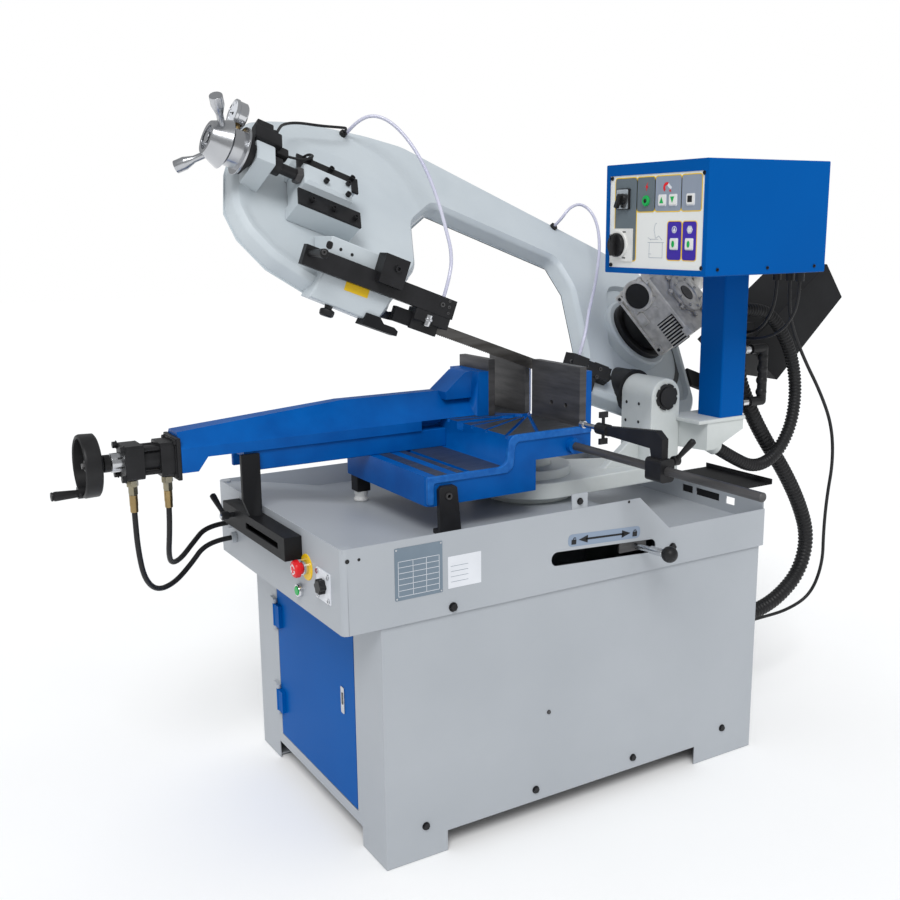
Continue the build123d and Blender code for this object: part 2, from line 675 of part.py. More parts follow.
with BuildPart() as beam:
    with BuildSketch(Plane.YZ.offset(BEAM_LEFT)):
        with BuildLine():
            Polyline(*left_section, close=True)
        make_face()
    with BuildSketch(Plane.YZ.offset(RIDGE_START)):
        with BuildLine():
            Polyline(*ridge_section, close=True)
        make_face()
    loft(ruled=True)
    slab(Plane.YZ.offset(RIDGE_START), ridge_section, JAW_BACK - JAW_WALL - RIDGE_START)
    block((JAW_BACK - JAW_WALL, JAW_BACK), (MOVING_FRONT, MOVING_REAR), (beam_over_table, JAW_TOP))
    slab(
        Plane.XZ.offset(-beam_front - 16),
        [
            (JAW_BACK - JAW_WALL - 78, BEAM_TOP_RIGHT - 20),
            (JAW_BACK - JAW_WALL, BEAM_TOP_RIGHT - 20),
            (JAW_BACK - JAW_WALL, JAW_TOP),
            (JAW_BACK - JAW_WALL - 20, JAW_TOP - 4),
            (JAW_BACK - JAW_WALL - 78, BEAM_TOP_RIGHT),
        ],
        -(2 * BEAM_HALF - 22),
    )
    slab(
        Plane.XZ.offset(-beam_front),
        [
            (BEAM_LEFT, beam_bottom + 4),
            (BEAM_LEFT, beam_bottom - HOOK_DROP),
            (BEAM_LEFT + HOOK_LENGTH - 24, beam_bottom - HOOK_DROP),
            (BEAM_LEFT + HOOK_LENGTH, beam_bottom),
            (BEAM_LEFT + HOOK_LENGTH, beam_bottom + 4),
        ],
        -2 * BEAM_HALF,
    )
    block(
        (LOW_BEAM_END, JAW_BACK - JAW_WALL),
        (beam_front, beam_rear),
        (beam_bottom, beam_over_table),
        Mode.SUBTRACT,
    )
    block(
        (RAIL_LEFT - 76, LOW_BEAM_END),
        (VISE_Y - STEM_HALF - SLIDING, VISE_Y + STEM_HALF + SLIDING),
        (beam_bottom, RAIL_TOP + STEM_HEIGHT),
        Mode.SUBTRACT,
    )
    block(
        (RAIL_LEFT - 76, LOW_BEAM_END),
        (VISE_Y - TONGUE_HALF - SLIDING, VISE_Y + TONGUE_HALF + SLIDING),
        (RAIL_TOP + STEM_HEIGHT - SLIDING, RAIL_TOP + TONGUE_HEIGHT + SLIDING),
        Mode.SUBTRACT,
    )
    rod((BEAM_LEFT, VISE_Y, VISE_Z), (1, 0, 0), SPINDLE_R + RUNNING, 50, Mode.SUBTRACT)
write(beam, "vise_beam")

with BuildPart() as moving_plate:
    block(
        (JAW_BACK, JAW_BACK + JAW_PLATE),
        (MOVING_FRONT, MOVING_REAR),
        (beam_over_table, TABLE_TOP + JAW_HEIGHT),
    )
write(moving_plate, "moving_jaw_plates")

# Hydraulic cylinder on the beam's end, with a bright collar and two hose fittings
half_block = CYLINDER_BLOCK / 2
near_block = BEAM_LEFT - CYLINDER_BLOCK_LENGTH
far_block = near_block - CYLINDER_TUBE_LENGTH - CYLINDER_BLOCK_LENGTH
fitting_x = (far_block + CYLINDER_BLOCK_LENGTH / 2, near_block + CYLINDER_BLOCK_LENGTH / 2)
hose_top = VISE_Z - half_block - FITTING_LENGTH
with BuildPart() as cylinder:
    for low in (far_block, near_block):
        block(
            (low, low + CYLINDER_BLOCK_LENGTH),
            (VISE_Y - half_block, VISE_Y + half_block),
            (VISE_Z - half_block, VISE_Z + half_block),
        )
    chamfer(cylinder.edges().filter_by(Axis.X), length=5)
    block(
        (BEAM_LEFT - CYLINDER_FLANGE, BEAM_LEFT),
        (VISE_Y - half_block - 6, VISE_Y + half_block + 6),
        (VISE_Z - half_block + 2, VISE_Z + half_block + 6),
    )
    rod((far_block, VISE_Y, VISE_Z), (1, 0, 0), CYLINDER_TUBE_R, BEAM_LEFT - far_block)
    for dy in (-27, 27):
        for dz in (-27, 27):
            rod((far_block, VISE_Y + dy, VISE_Z + dz), (1, 0, 0), 5, BEAM_LEFT - far_block)
    rod((far_block - COLLAR_LENGTH, VISE_Y, VISE_Z), (1, 0, 0), COLLAR_R, COLLAR_LENGTH)
    for x in fitting_x:
        rod((x, VISE_Y, hose_top), (0, 0, 1), FITTING_R, FITTING_LENGTH)
    rod(
        (far_block - COLLAR_LENGTH, VISE_Y, VISE_Z),
        (1, 0, 0),
        SPINDLE_R + RUNNING,
        BEAM_LEFT - far_block + COLLAR_LENGTH,
        Mode.SUBTRACT,
    )
write(cylinder, "vise_cylinder")

# Handwheel on its spindle, dished, with a crank pin
wheel_x = far_block - COLLAR_LENGTH - HANDWHEEL_GAP - HANDWHEEL_RIM / 2
CRANK_PIN_R = 5
with BuildPart() as handwheel:
    rod((wheel_x - 14, VISE_Y, VISE_Z), (1, 0, 0), SPINDLE_R, BEAM_LEFT + 46 - wheel_x + 14)
    rod((wheel_x - 14, VISE_Y, VISE_Z), (1, 0, 0), 20, far_block - COLLAR_LENGTH - 4 - wheel_x + 14)
    with Locations(Plane(origin=(wheel_x, VISE_Y, VISE_Z), z_dir=(1, 0, 0))):
        Torus(HANDWHEEL_R - 10, 10)
    with Locations(Plane(origin=(wheel_x - 3, VISE_Y, VISE_Z), z_dir=(1, 0, 0))):
        Cone(
            HANDWHEEL_R - 11,
            20,
            24,
            align=MIN_Z,
        )
    with Locations(Plane(origin=(wheel_x - 4, VISE_Y, VISE_Z), z_dir=(1, 0, 0))):
        Cone(HANDWHEEL_R - 16, 15, 18, align=MIN_Z, mode=Mode.SUBTRACT)
    rod((wheel_x - 14, VISE_Y, VISE_Z), (1, 0, 0), 20, 30)
    rod(
        (wheel_x - GRIP_LENGTH - 14, VISE_Y, VISE_Z - CRANK_RADIUS),
        (1, 0, 0),
        CRANK_PIN_R,
        GRIP_LENGTH + 18,
    )
write(handwheel, "vise_handwheel")

with BuildPart() as grip:
    rod(
        (wheel_x - GRIP_LENGTH - 12, VISE_Y, VISE_Z - CRANK_RADIUS), (1, 0, 0), GRIP_R, GRIP_LENGTH
    )
    fillet(grip.edges(), radius=4)
    rod(
        (wheel_x - GRIP_LENGTH - 12, VISE_Y, VISE_Z - CRANK_RADIUS),
        (1, 0, 0),
        CRANK_PIN_R + RUNNING,
        GRIP_LENGTH,
        Mode.SUBTRACT,
    )
write(grip, "crank_grip")

# Hydraulic hoses from the fittings to the glands on the tray
gland_x = TRAY_LEFT - GLAND_LENGTH - SLIDING
front_hose = [
    (fitting_x[0], VISE_Y, hose_top),
    (fitting_x[0], VISE_Y, hose_top - 67),
    (fitting_x[0] + 3.5, VISE_Y + 5, 690),
    (fitting_x[0] + 18.5, VISE_Y + 26, 614),
    (fitting_x[0] + 55.5, VISE_Y + 64, 568),
    (fitting_x[0] + 109.5, VISE_Y + 106, 564),
    (fitting_x[0] + 161.5, VISE_Y + 138, 592),
    (gland_x - 64, *GLAND_LOW),
    (gland_x, *GLAND_LOW),
]
rear_hose = [
    (fitting_x[1], VISE_Y, hose_top),
    (fitting_x[1], VISE_Y, hose_top - 54),
    (fitting_x[1] - 0.5, VISE_Y + 10, 716),
    (fitting_x[1] + 3.5, VISE_Y + 42, 660),
    (fitting_x[1] + 19.5, VISE_Y + 80, 624),
    (fitting_x[1] + 55.5, VISE_Y + 124, 618),
    (fitting_x[1] + 97.5, VISE_Y + 158, 642),
    (gland_x - 56, *GLAND_HIGH),
    (gland_x, *GLAND_HIGH),
]
cord(front_hose, HOSE_D, "vise_hose_front")
cord(rear_hose, HOSE_D, "vise_hose_rear")

# Support: a channel on the tray's left wall and a plate that holds the rail's end
SUPPORT_PIN = (150, CHANNEL_TOP - 19)
with BuildPart() as support:
    block(
        (TRAY_LEFT - CHANNEL_DEPTH, TRAY_LEFT),
        (CHANNEL_FRONT, CHANNEL_REAR),
        (CHANNEL_TOP - CHANNEL_HEIGHT, CHANNEL_TOP),
    )
    block(
        (TRAY_LEFT - CHANNEL_DEPTH + 5, TRAY_LEFT - 5),
        (CHANNEL_FRONT, CHANNEL_REAR),
        (CHANNEL_TOP - CHANNEL_HEIGHT + 5, CHANNEL_TOP - 5),
        Mode.SUBTRACT,
    )
    block(
        (TRAY_LEFT - CHANNEL_DEPTH - 1, TRAY_LEFT - CHANNEL_DEPTH + 6),
        (CHANNEL_FRONT + 40, CHANNEL_REAR - 160),
        (CHANNEL_TOP - CHANNEL_HEIGHT / 2 - 7, CHANNEL_TOP - CHANNEL_HEIGHT / 2 + 7),
        Mode.SUBTRACT,
    )
    plate_rear = VISE_Y - RAIL_HALF
    slab(
        Plane.XZ.offset(-plate_rear + SUPPORT_PLATE),
        [
            (RAIL_LEFT - 12, RAIL_TOP - 5),
            (RAIL_LEFT - 12, CHANNEL_TOP + 40),
            (RAIL_LEFT + 4, CHANNEL_TOP - 2),
            (RAIL_LEFT + 34, CHANNEL_TOP - 2),
            (RAIL_LEFT + 34, RAIL_TOP - 5),
        ],
        -SUPPORT_PLATE,
    )
    rod((TRAY_LEFT - CHANNEL_DEPTH - 22, *SUPPORT_PIN), (1, 0, 0), 6, 24)
write(support, "vise_support")

LEVER_R = 6
SUPPORT_LEVER = Vector(-0.25, 0.72, 0.65)
lever_x = TRAY_LEFT - CHANNEL_DEPTH - 20
with BuildPart() as support_lever:
    rod((lever_x - 4, *SUPPORT_PIN), (1, 0, 0), 13, 18)
    rod((lever_x + 2, *SUPPORT_PIN), SUPPORT_LEVER, LEVER_R, LEVER_LENGTH)
    with Locations(Vector(lever_x + 2, *SUPPORT_PIN) + SUPPORT_LEVER * LEVER_LENGTH):
        Sphere(9)
    rod((lever_x - 5, *SUPPORT_PIN), (1, 0, 0), 6 + RUNNING, 20, Mode.SUBTRACT)
write(support_lever, "support_lever")

# Length stop: rod, clamp with its arm, clamp lever and stop pin
with BuildPart() as stop_rod:
    rod(
        (STOP_ROD_X, BED_FRONT + BED_WALL - 2 - STOP_ROD_LENGTH, STOP_ROD_Z),
        (0, 1, 0),
        STOP_ROD_R,
        STOP_ROD_LENGTH,
    )
    chamfer(stop_rod.edges(), length=1.5)
write(stop_rod, "stop_rod")

PIN_Z = CABINET_HEIGHT + 367
PIN_TIP = -273
PIN_LENGTH = 118
PIN_BOSS = (-372, -338)
half_clamp = STOP_CLAMP_SIDE / 2
CLAMP_PIVOT = (STOP_CLAMP_Y - 14, STOP_ROD_Z + 18)
with BuildPart() as clamp:
    block(
        (STOP_ROD_X - 20, STOP_ROD_X + 20),
        (STOP_CLAMP_Y - half_clamp, STOP_CLAMP_Y + half_clamp),
        (STOP_ROD_Z - half_clamp, STOP_ROD_Z + half_clamp),
    )
    fillet(clamp.edges().filter_by(Axis.Y), radius=9)
    slab(
        Plane.YZ.offset(STOP_ROD_X - 9),
        [
            (STOP_CLAMP_Y - 16, STOP_ROD_Z + 16),
            (STOP_CLAMP_Y + 18, STOP_ROD_Z + 16),
            (STOP_CLAMP_Y + 24, PIN_Z - 15),
            (PIN_BOSS[0], PIN_Z - 10),
            (PIN_BOSS[0], PIN_Z + 10),
            (STOP_CLAMP_Y + 6, PIN_Z + 27),
            (STOP_CLAMP_Y - 16, PIN_Z + 11),
        ],
        18,
    )
    rod((STOP_ROD_X, PIN_BOSS[0] - 6, PIN_Z), (0, 1, 0), 14, PIN_BOSS[1] - PIN_BOSS[0] + 6)
    rod((STOP_ROD_X, -356, PIN_Z + 8), (0, 0, 1), 4, 22)
    block((STOP_ROD_X - 12, STOP_ROD_X + 12), (-359, -353), (PIN_Z + 28, PIN_Z + 42))
    rod((STOP_ROD_X, -356, PIN_Z - 8), (0, 0, -1), 4, 16)
    block((STOP_ROD_X - 12, STOP_ROD_X + 12), (-359, -353), (PIN_Z - 36, PIN_Z - 22))
    rod(
        (STOP_ROD_X, PIN_BOSS[0] - 40, PIN_Z),
        (0, 1, 0),
        STOP_PIN_R + RUNNING,
        100,
        Mode.SUBTRACT,
    )
    rod(
        (STOP_ROD_X, STOP_CLAMP_Y - half_clamp, STOP_ROD_Z),
        (0, 1, 0),
        STOP_ROD_R + RUNNING,
        STOP_CLAMP_SIDE,
        Mode.SUBTRACT,
    )
    rod((STOP_ROD_X + 18, *CLAMP_PIVOT), (1, 0, 0), 5, 24)
write(clamp, "stop_clamp")

CLAMP_LEVER = Vector(0.2, -0.66, 0.72).normalized()
lever_root = Vector(STOP_ROD_X + 32, *CLAMP_PIVOT)
with BuildPart() as clamp_lever:
    rod((STOP_ROD_X + 20 + SLIDING, *CLAMP_PIVOT), (1, 0, 0), 11, 22)
    rod(lever_root, CLAMP_LEVER, LEVER_R, LEVER_LENGTH)
    with Locations(lever_root + CLAMP_LEVER * LEVER_LENGTH):
        Sphere(9)
    rod((STOP_ROD_X + 20, *CLAMP_PIVOT), (1, 0, 0), 5 + RUNNING, 24, Mode.SUBTRACT)
write(clamp_lever, "stop_clamp_lever")

with BuildPart() as pin:
    rod((STOP_ROD_X, PIN_TIP, PIN_Z), (0, -1, 0), STOP_PIN_R, PIN_LENGTH)
    rod((STOP_ROD_X, PIN_TIP, PIN_Z), (0, -1, 0), STOP_PIN_R + 3, 12)
write(pin, "stop_pin")

# Swivel arm: a ring on the column, a slab and the arched housing of the pivot
swivel_bottom = TURNTABLE_TOP + SLIDING
housing_x = (PIVOT_X - HOUSING_R, PIVOT_X + HOUSING_R)
with BuildPart() as swivel:
    rod((SWIVEL_X, BLADE_Y, swivel_bottom), (0, 0, 1), SWIVEL_RING_R, SWIVEL_ARM_TOP - swivel_bottom)
    rod((SWIVEL_X, BLADE_Y, swivel_bottom), (0, 0, 1), SCALE_RING_R, SCALE_RING_TOP - swivel_bottom)
    slab(
        Plane.XY.offset(swivel_bottom),
        [
            (SWIVEL_X, BLADE_Y - SWIVEL_RING_R + 0.5),
            (housing_x[0], HOUSING_FRONT),
            (housing_x[1], HOUSING_FRONT),
            (housing_x[1], HOUSING_REAR),
            (housing_x[0] - 10, HOUSING_REAR + 30),
            (SWIVEL_X, BLADE_Y + SWIVEL_RING_R - 0.5),
        ],
        SWIVEL_ARM_TOP - swivel_bottom,
    )
    block(housing_x, (HOUSING_FRONT, HOUSING_REAR), (swivel_bottom, PIVOT_Z))
    rod((PIVOT_X, HOUSING_FRONT, PIVOT_Z), (0, 1, 0), HOUSING_R, HOUSING_REAR - HOUSING_FRONT)
    slab(
        Plane.XZ.offset(-(HOUSING_FRONT + HOUSING_REAR) / 2 + 12),
        [
            (housing_x[0] - 120, SWIVEL_ARM_TOP - 2),
            (housing_x[0] + 2, SWIVEL_ARM_TOP - 2),
            (housing_x[0] + 2, SWIVEL_ARM_TOP + 90),
        ],
        -24,
    )
    rod(
        (SWIVEL_X, BLADE_Y, swivel_bottom),
        (0, 0, 1),
        COLUMN_R + RUNNING,
        SCALE_RING_TOP - swivel_bottom,
        Mode.SUBTRACT,
    )
    rod(
        (PIVOT_X, HOUSING_FRONT, PIVOT_Z),
        (0, 1, 0),
        PIVOT_R + RUNNING,
        HOUSING_REAR - HOUSING_FRONT,
        Mode.SUBTRACT,
    )
write(swivel, "swivel_arm")

with BuildPart() as cap:
    rod((PIVOT_X, HOUSING_FRONT, PIVOT_Z), (0, -1, 0), PIVOT_CAP_R, 5)
    rod((PIVOT_X, HOUSING_FRONT - 5, PIVOT_Z), (0, -1, 0), PIVOT_CAP_R - 9, 4)
    for turn in range(8):
        angle = radians(45 * turn)
        rod(
            (PIVOT_X + PIVOT_CAP_R * cos(angle), HOUSING_FRONT, PIVOT_Z + PIVOT_CAP_R * sin(angle)),
            (0, -1, 0),
            4,
            5,
            Mode.SUBTRACT,
        )
write(cap, "pivot_cap")

# Bracket of the post: a shelf on the housing's right side with a tapered belly
post_x = (POST_X, POST_X + POST_SIDE)
post_y = (POST_Y, POST_Y + POST_SIDE)
BELLY_BOTTOM = CABINET_HEIGHT + 244
loop_dir = Vector(cos(radians(-30)), 0, sin(radians(-30)))
loop_gland = Vector(500, LOOP_Y, BELLY_BOTTOM + 24)
LOOP_GLAND = 46
bracket_plan = [
    (housing_x[1], HOUSING_FRONT),
    (housing_x[1] + 22, post_y[0]),
    (post_x[1], post_y[0]),
    (post_x[1], post_y[1]),
    (post_x[0], post_y[1]),
    (housing_x[1], HOUSING_FRONT + 44),
]
with BuildPart() as bracket:
    slab(Plane.XY.offset(BELLY_BOTTOM), bracket_plan, SHELF_TOP - BELLY_BOTTOM)
    slab(
        Plane.XZ.offset(-post_y[1] - 60),
        [
            (post_x[0] - 20, BELLY_BOTTOM - 1),
            (post_x[1] + 1, BELLY_BOTTOM - 1),
            (post_x[1] + 1, SHELF_TOP - 36),
        ],
        POST_SIDE + 120,
        Mode.SUBTRACT,
    )
    rod(loop_gland, loop_dir, LOOP_D / 2 + 5, LOOP_GLAND)
write(bracket, "post_bracket")

ELBOW_LENGTH = 66
ELBOW_BOTTOM, ELBOW_TOP = BOX_BOTTOM - 196, BOX_BOTTOM - 144
MAIN_WALL = 5
with BuildPart() as post:
    block(post_x, post_y, (SHELF_TOP, BOX_BOTTOM))
    fillet(post.edges().filter_by(Axis.Z), radius=5)
    block(
        (post_x[0] + POST_WALL, post_x[1] - POST_WALL),
        (post_y[0] + POST_WALL, post_y[1] - POST_WALL),
        (SHELF_TOP, BOX_BOTTOM),
        Mode.SUBTRACT,
    )
    block((post_x[1], post_x[1] + ELBOW_LENGTH), (MAIN_Y - 27, post_y[1]), (ELBOW_BOTTOM, ELBOW_TOP))
    block(
        (post_x[1] - POST_WALL, post_x[1] + ELBOW_LENGTH - POST_WALL),
        (MAIN_Y - 21, post_y[1] - POST_WALL),
        (ELBOW_BOTTOM + POST_WALL, ELBOW_TOP - POST_WALL),
        Mode.SUBTRACT,
    )
    rod(
        (post_x[1] + ELBOW_LENGTH / 2, MAIN_Y, ELBOW_BOTTOM),
        (0, 0, 1),
        MAIN_D / 2 - MAIN_WALL,
        POST_WALL,
        Mode.SUBTRACT,
    )
write(post, "control_post")

# Grab handle on two stand-offs at the post's right side
HANDLE_Y = post_y[0] + 16
HANDLE_LOW, HANDLE_HIGH = SHELF_TOP + 32, SHELF_TOP + 177
HANDLE_OUT = 82
with BuildPart() as handle:
    for z in (HANDLE_LOW, HANDLE_HIGH):
        rod((post_x[1], HANDLE_Y, z), (1, 0, 0), 9, 40)
        rod((post_x[1] + 34, HANDLE_Y, z), (1, 0, 0), 13, HANDLE_OUT - 34)
        with Locations((post_x[1] + HANDLE_OUT, HANDLE_Y, z)):
            Sphere(13)
    rod((post_x[1] + HANDLE_OUT, HANDLE_Y, HANDLE_LOW), (0, 0, 1), 13, HANDLE_HIGH - HANDLE_LOW)
    for step in range(4):
        with Locations((post_x[1] + HANDLE_OUT - 2, HANDLE_Y, HANDLE_LOW + 24 + 32 * step)):
            Sphere(15)
write(handle, "post_handle")

# Control box: a sheet shell with glands beneath, open behind the panel
box_x = (BOX_LEFT, BOX_LEFT + BOX_LENGTH)
box_y = (BOX_FRONT, BOX_FRONT + BOX_WIDTH)
box_z = (BOX_BOTTOM, BOX_BOTTOM + BOX_HEIGHT)
panel_x = BOX_LEFT + BOX_WALL
GLANDS = ((652, -352), (652, -308), (640, -395))
BOX_GLAND = 24
with BuildPart() as box:
    block(box_x, box_y, box_z)
    fillet(box.edges().filter_by(Axis.X), radius=4)
    block(
        (box_x[0] + BOX_WALL, box_x[1] - BOX_WALL),
        (box_y[0] + BOX_WALL, box_y[1] - BOX_WALL),
        (box_z[0] + BOX_WALL, box_z[1] - BOX_WALL),
        Mode.SUBTRACT,
    )
    block(
        (box_x[0] - 1, panel_x + 1),
        (box_y[0] + BOX_RIM, box_y[1] - BOX_RIM),
        (box_z[0] + BOX_RIM, box_z[1] - BOX_RIM - 14),
        Mode.SUBTRACT,
    )
    for x, y in GLANDS:
        rod((x, y, box_z[0]), (0, 0, -1), 11, BOX_GLAND)
        rod(
            (x, y, box_z[0] + BOX_WALL),
            (0, 0, -1),
            CABLE_D / 2 - END_LIP,
            BOX_GLAND + BOX_WALL,
            Mode.SUBTRACT,
        )
write(box, "control_box")

CONTROLS = {
    "selector_switch": (-138, BOX_BOTTOM + 184),
    "button_up": (-282, BOX_BOTTOM + 179),
    "button_down": (-320, BOX_BOTTOM + 179),
    "button_stop": (-380, BOX_BOTTOM + 180),
    "main_switch": (-124, BOX_BOTTOM + 71),
    "button_coolant": (-327, BOX_BOTTOM + 75),
    "button_drive": (-380, BOX_BOTTOM + 75),
}
SHANK_R = 8
with BuildPart() as panel:
    block(
        (panel_x, panel_x + PANEL_THICK),
        (box_y[0] + BOX_RIM - 8, box_y[1] - BOX_RIM + 8),
        (box_z[0] + BOX_RIM - 8, box_z[1] - BOX_RIM - 6),
    )
    for y, z in CONTROLS.values():
        rod((panel_x - 1, y, z), (1, 0, 0), SHANK_R + SLIDING, PANEL_THICK + 2, Mode.SUBTRACT)
write(panel, "control_panel")

for name, (y, z) in CONTROLS.items():
    with BuildPart() as control:
        if name.startswith("button"):
            rod((panel_x - 8, y, z), (1, 0, 0), SHANK_R, 30)
            block((panel_x - 12, panel_x - 5), (y - 11, y + 11), (z - 11, z + 11))
            chamfer(control.faces().sort_by(Axis.X)[0].edges(), length=1.5)
        elif name == "main_switch":
            rod((panel_x - 6, y, z), (1, 0, 0), SHANK_R, 34)
            rod((panel_x - 8, y, z), (1, 0, 0), 30, 7)
            block((panel_x - 30, panel_x - 8), (y - 9, y + 9), (z - 27, z + 27))
        else:
            rod((panel_x - 6, y, z), (1, 0, 0), SHANK_R, 34)
            rod((panel_x - 8, y, z), (1, 0, 0), 15, 7)
            block((panel_x - 24, panel_x - 8), (y - 5, y + 5), (z - 14, z + 14))
    write(control, name)

# Bow casting, drawn in the wheels' plane: a C that carries both wheels
OUTLINE = [
    (-1207, 165),
    (-1207, 290),
    (-1176, 454),
    (-1120, 493),
    (-1049, 532),
    (-946, 571),
    (-828, 607),
    (-707, 633),
    (21, 582),
    (190, 560),
    (290, 480),
    (306, 420),
    (306, 90),
    (240, -20),
    (-150, -20),
    (-150, 60),
    (-130, 120),
    (-130, 360),
    (-176, 446),
    (-616, 446),
    (-693, 343),
    (-697, 189),
    (-786, 45),
    (-800, 4),
    (-990, 8),
    (-1103, 42),
    (-1175, 100),
]
RECESS = [
    (-1165, 190),
    (-1165, 290),
    (-1138, 420),
    (-1040, 474),
    (-850, 480),
    (-812, 254),
    (-806, 130),
    (-860, 78),
    (-1020, 72),
    (-1090, 84),
    (-1142, 132),
]
SLIDE_HALF = 32
TONGUE_B = 43
SLIDE_A = (-1066, -936)
SLIDE_TOP = 84
RAIL_A = (-1072, -902)
RAIL_C = 52
RAIL_WIDTH = 38
GIB = 6
SCREW_BEARING = (-1195, -1146)
BEARING_WIDTH = 60
BEARING_TOP = 30  # above the axis of the screw
WHEEL_SLOT_PLAY = 4
BORE_DRIVE_R = 60
BLADE_EXITS = (((-860, -740), (0, 46)), ((-170, -110), (-5, 41)))
PAD_A = (-1000, -806)
PAD_TOP = 118
PAD_FACE = 5.7
PAD_ROOT = -2
BAR_TOP = 77
pivot_axis = Plane(origin=(PIVOT_X, HOUSING_REAR, PIVOT_Z), z_dir=(0, 1, 0))


def lean(up, front):
    """Place across the bow of a point given upright, above and in front of the blade."""
    return (lean_cos * up - lean_sin * front, lean_sin * up + lean_cos * front)


def meet(up):
    """Where a level line at a height above the blade goes into the bow's front face."""
    return lean(up, (PAD_ROOT - lean_sin * up) / lean_cos)


PIVOT_BOSS_R = 58
boss_front = HOUSING_REAR + SLIDING + THRUST_WIDTH
with BuildPart(BOW) as casting:
    with BuildSketch(BOW.offset(-BOW_DEPTH)) as outline:
        with BuildLine():
            Polyline(*OUTLINE, close=True)
        make_face()
    extrude(amount=BOW_DEPTH)
    with BuildSketch(BOW.offset(-BOW_DEPTH)):
        with BuildLine():
            Polyline(*OUTLINE, close=True)
        make_face()
        offset(amount=-BOW_WALL, kind=Kind.INTERSECTION)
    extrude(amount=BOW_DEPTH - BOW_WEB, mode=Mode.SUBTRACT)
    with BuildSketch(BOW):
        with BuildLine():
            Polyline(*RECESS, close=True)
        make_face()
        fillet(vertices(), radius=18)
    extrude(amount=-RECESS_DEPTH, mode=Mode.SUBTRACT)
    with Locations((DRIVE_A, WHEEL_B, 0)):
        Cylinder(BOSS_R, BOSS_HEIGHT, align=MIN_Z)
    with Locations((DRIVE_A, WHEEL_B, BOSS_HEIGHT)):
        Cylinder(DRIVE_RING_R, DRIVE_RING, align=MIN_Z)
    with Locations((DRIVE_A, WHEEL_B, -BOW_WEB)):
        Cylinder(
            BORE_DRIVE_R, BOW_WEB + BOSS_HEIGHT + DRIVE_RING, align=MIN_Z, mode=Mode.SUBTRACT
        )
    for side in (-1, 1):
        inner, outer = side * (TONGUE_B + SLIDING), side * (TONGUE_B + SLIDING + RAIL_WIDTH)
        block(RAIL_A, sorted((WHEEL_B + inner, WHEEL_B + outer)), (-RECESS_DEPTH, RAIL_C))
    block(
        SCREW_BEARING,
        (WHEEL_B - BEARING_WIDTH / 2, WHEEL_B + BEARING_WIDTH / 2),
        (-RECESS_DEPTH, SCREW_C + BEARING_TOP),
    )
    slab(
        Plane(origin=BOW_ORIGIN + ALONG * PAD_A[0], x_dir=BOW.y_dir, z_dir=ALONG),
        [
            lean(BAR_TOP + SLIDING, PAD_FACE),
            lean(PAD_TOP, PAD_FACE),
            meet(PAD_TOP),
            meet(BAR_TOP + SLIDING),
        ],
        PAD_A[1] - PAD_A[0],
    )
    with Locations((IDLER_A + TENSION_TRAVEL / 2, WHEEL_B, -BOW_WEB)):
        Box(
            2 * (AXLE_R + WHEEL_SLOT_PLAY) + TENSION_TRAVEL,
            2 * (AXLE_R + WHEEL_SLOT_PLAY),
            BOW_WEB,
            align=MIN_Z,
            mode=Mode.SUBTRACT,
        )
    with Locations(Plane(origin=(SCREW_BEARING[0] - 1, WHEEL_B, SCREW_C), z_dir=(1, 0, 0))):
        Cylinder(SCREW_R + RUNNING, 80, align=MIN_Z, mode=Mode.SUBTRACT)
    for exit_a, exit_b in BLADE_EXITS:
        block(exit_a, exit_b, (-BOW_DEPTH, -BOW_WEB), Mode.SUBTRACT)
    with Locations(BOW.location.inverse() * pivot_axis.location):
        Cylinder(THRUST_R + 2, boss_front - HOUSING_REAR, align=MIN_Z, mode=Mode.SUBTRACT)
write(casting, "bow_casting")

# Pivot shaft with its thrust collar, and the boss that joins it to the front of the web
with BuildPart() as shaft:
    rod((PIVOT_X, boss_front, PIVOT_Z), (0, 1, 0), PIVOT_BOSS_R, 74)
    split(bisect_by=BOW, keep=Keep.TOP)
    rod((PIVOT_X, HOUSING_FRONT, PIVOT_Z), (0, 1, 0), PIVOT_R, boss_front - HOUSING_FRONT)
    rod((PIVOT_X, HOUSING_REAR + SLIDING, PIVOT_Z), (0, 1, 0), THRUST_R, THRUST_WIDTH)
write(shaft, "pivot_shaft")

# Rear cover over the wheels and the upper run
with BuildPart(BOW) as cover:
    with BuildSketch(BOW.offset(-BOW_DEPTH - COVER_SHEET)):
        with BuildLine():
            Polyline(*OUTLINE, close=True)
        make_face()
        offset(amount=4, kind=Kind.INTERSECTION)
    extrude(amount=COVER_SHEET)
write(cover, "blade_cover")

# Wheels: the driven one with its shaft, the idler with a bore
HUB_LENGTH = 27
GEAR_FACE = BOSS_HEIGHT + DRIVE_RING + GEAR_GAP
SHAFT_TOP = GEAR_FACE + GEAR_THICK + 10
for name, centre in (("drive_wheel", DRIVE_A), ("idler_wheel", IDLER_A)):
    with BuildPart(BOW) as wheel:
        with Locations((centre, WHEEL_B, WHEEL_C)):
            Cylinder(WHEEL_R, WHEEL_WIDTH)
            Cylinder(WHEEL_R - 14, WHEEL_WIDTH, mode=Mode.SUBTRACT)
            Cylinder(WHEEL_R - 10, 8)
            Cylinder(46, HUB_LENGTH)
            with PolarLocations(118, 5):
                Cylinder(30, 8, mode=Mode.SUBTRACT)
        if name == "drive_wheel":
            rod((centre, WHEEL_B, -BOW_DEPTH + 6), (0, 0, 1), AXLE_R, SHAFT_TOP + BOW_DEPTH - 6)
        else:
            rod((centre, WHEEL_B, -BOW_DEPTH), (0, 0, 1), AXLE_R + RUNNING, BOW_DEPTH, Mode.SUBTRACT)
    write(wheel, name)

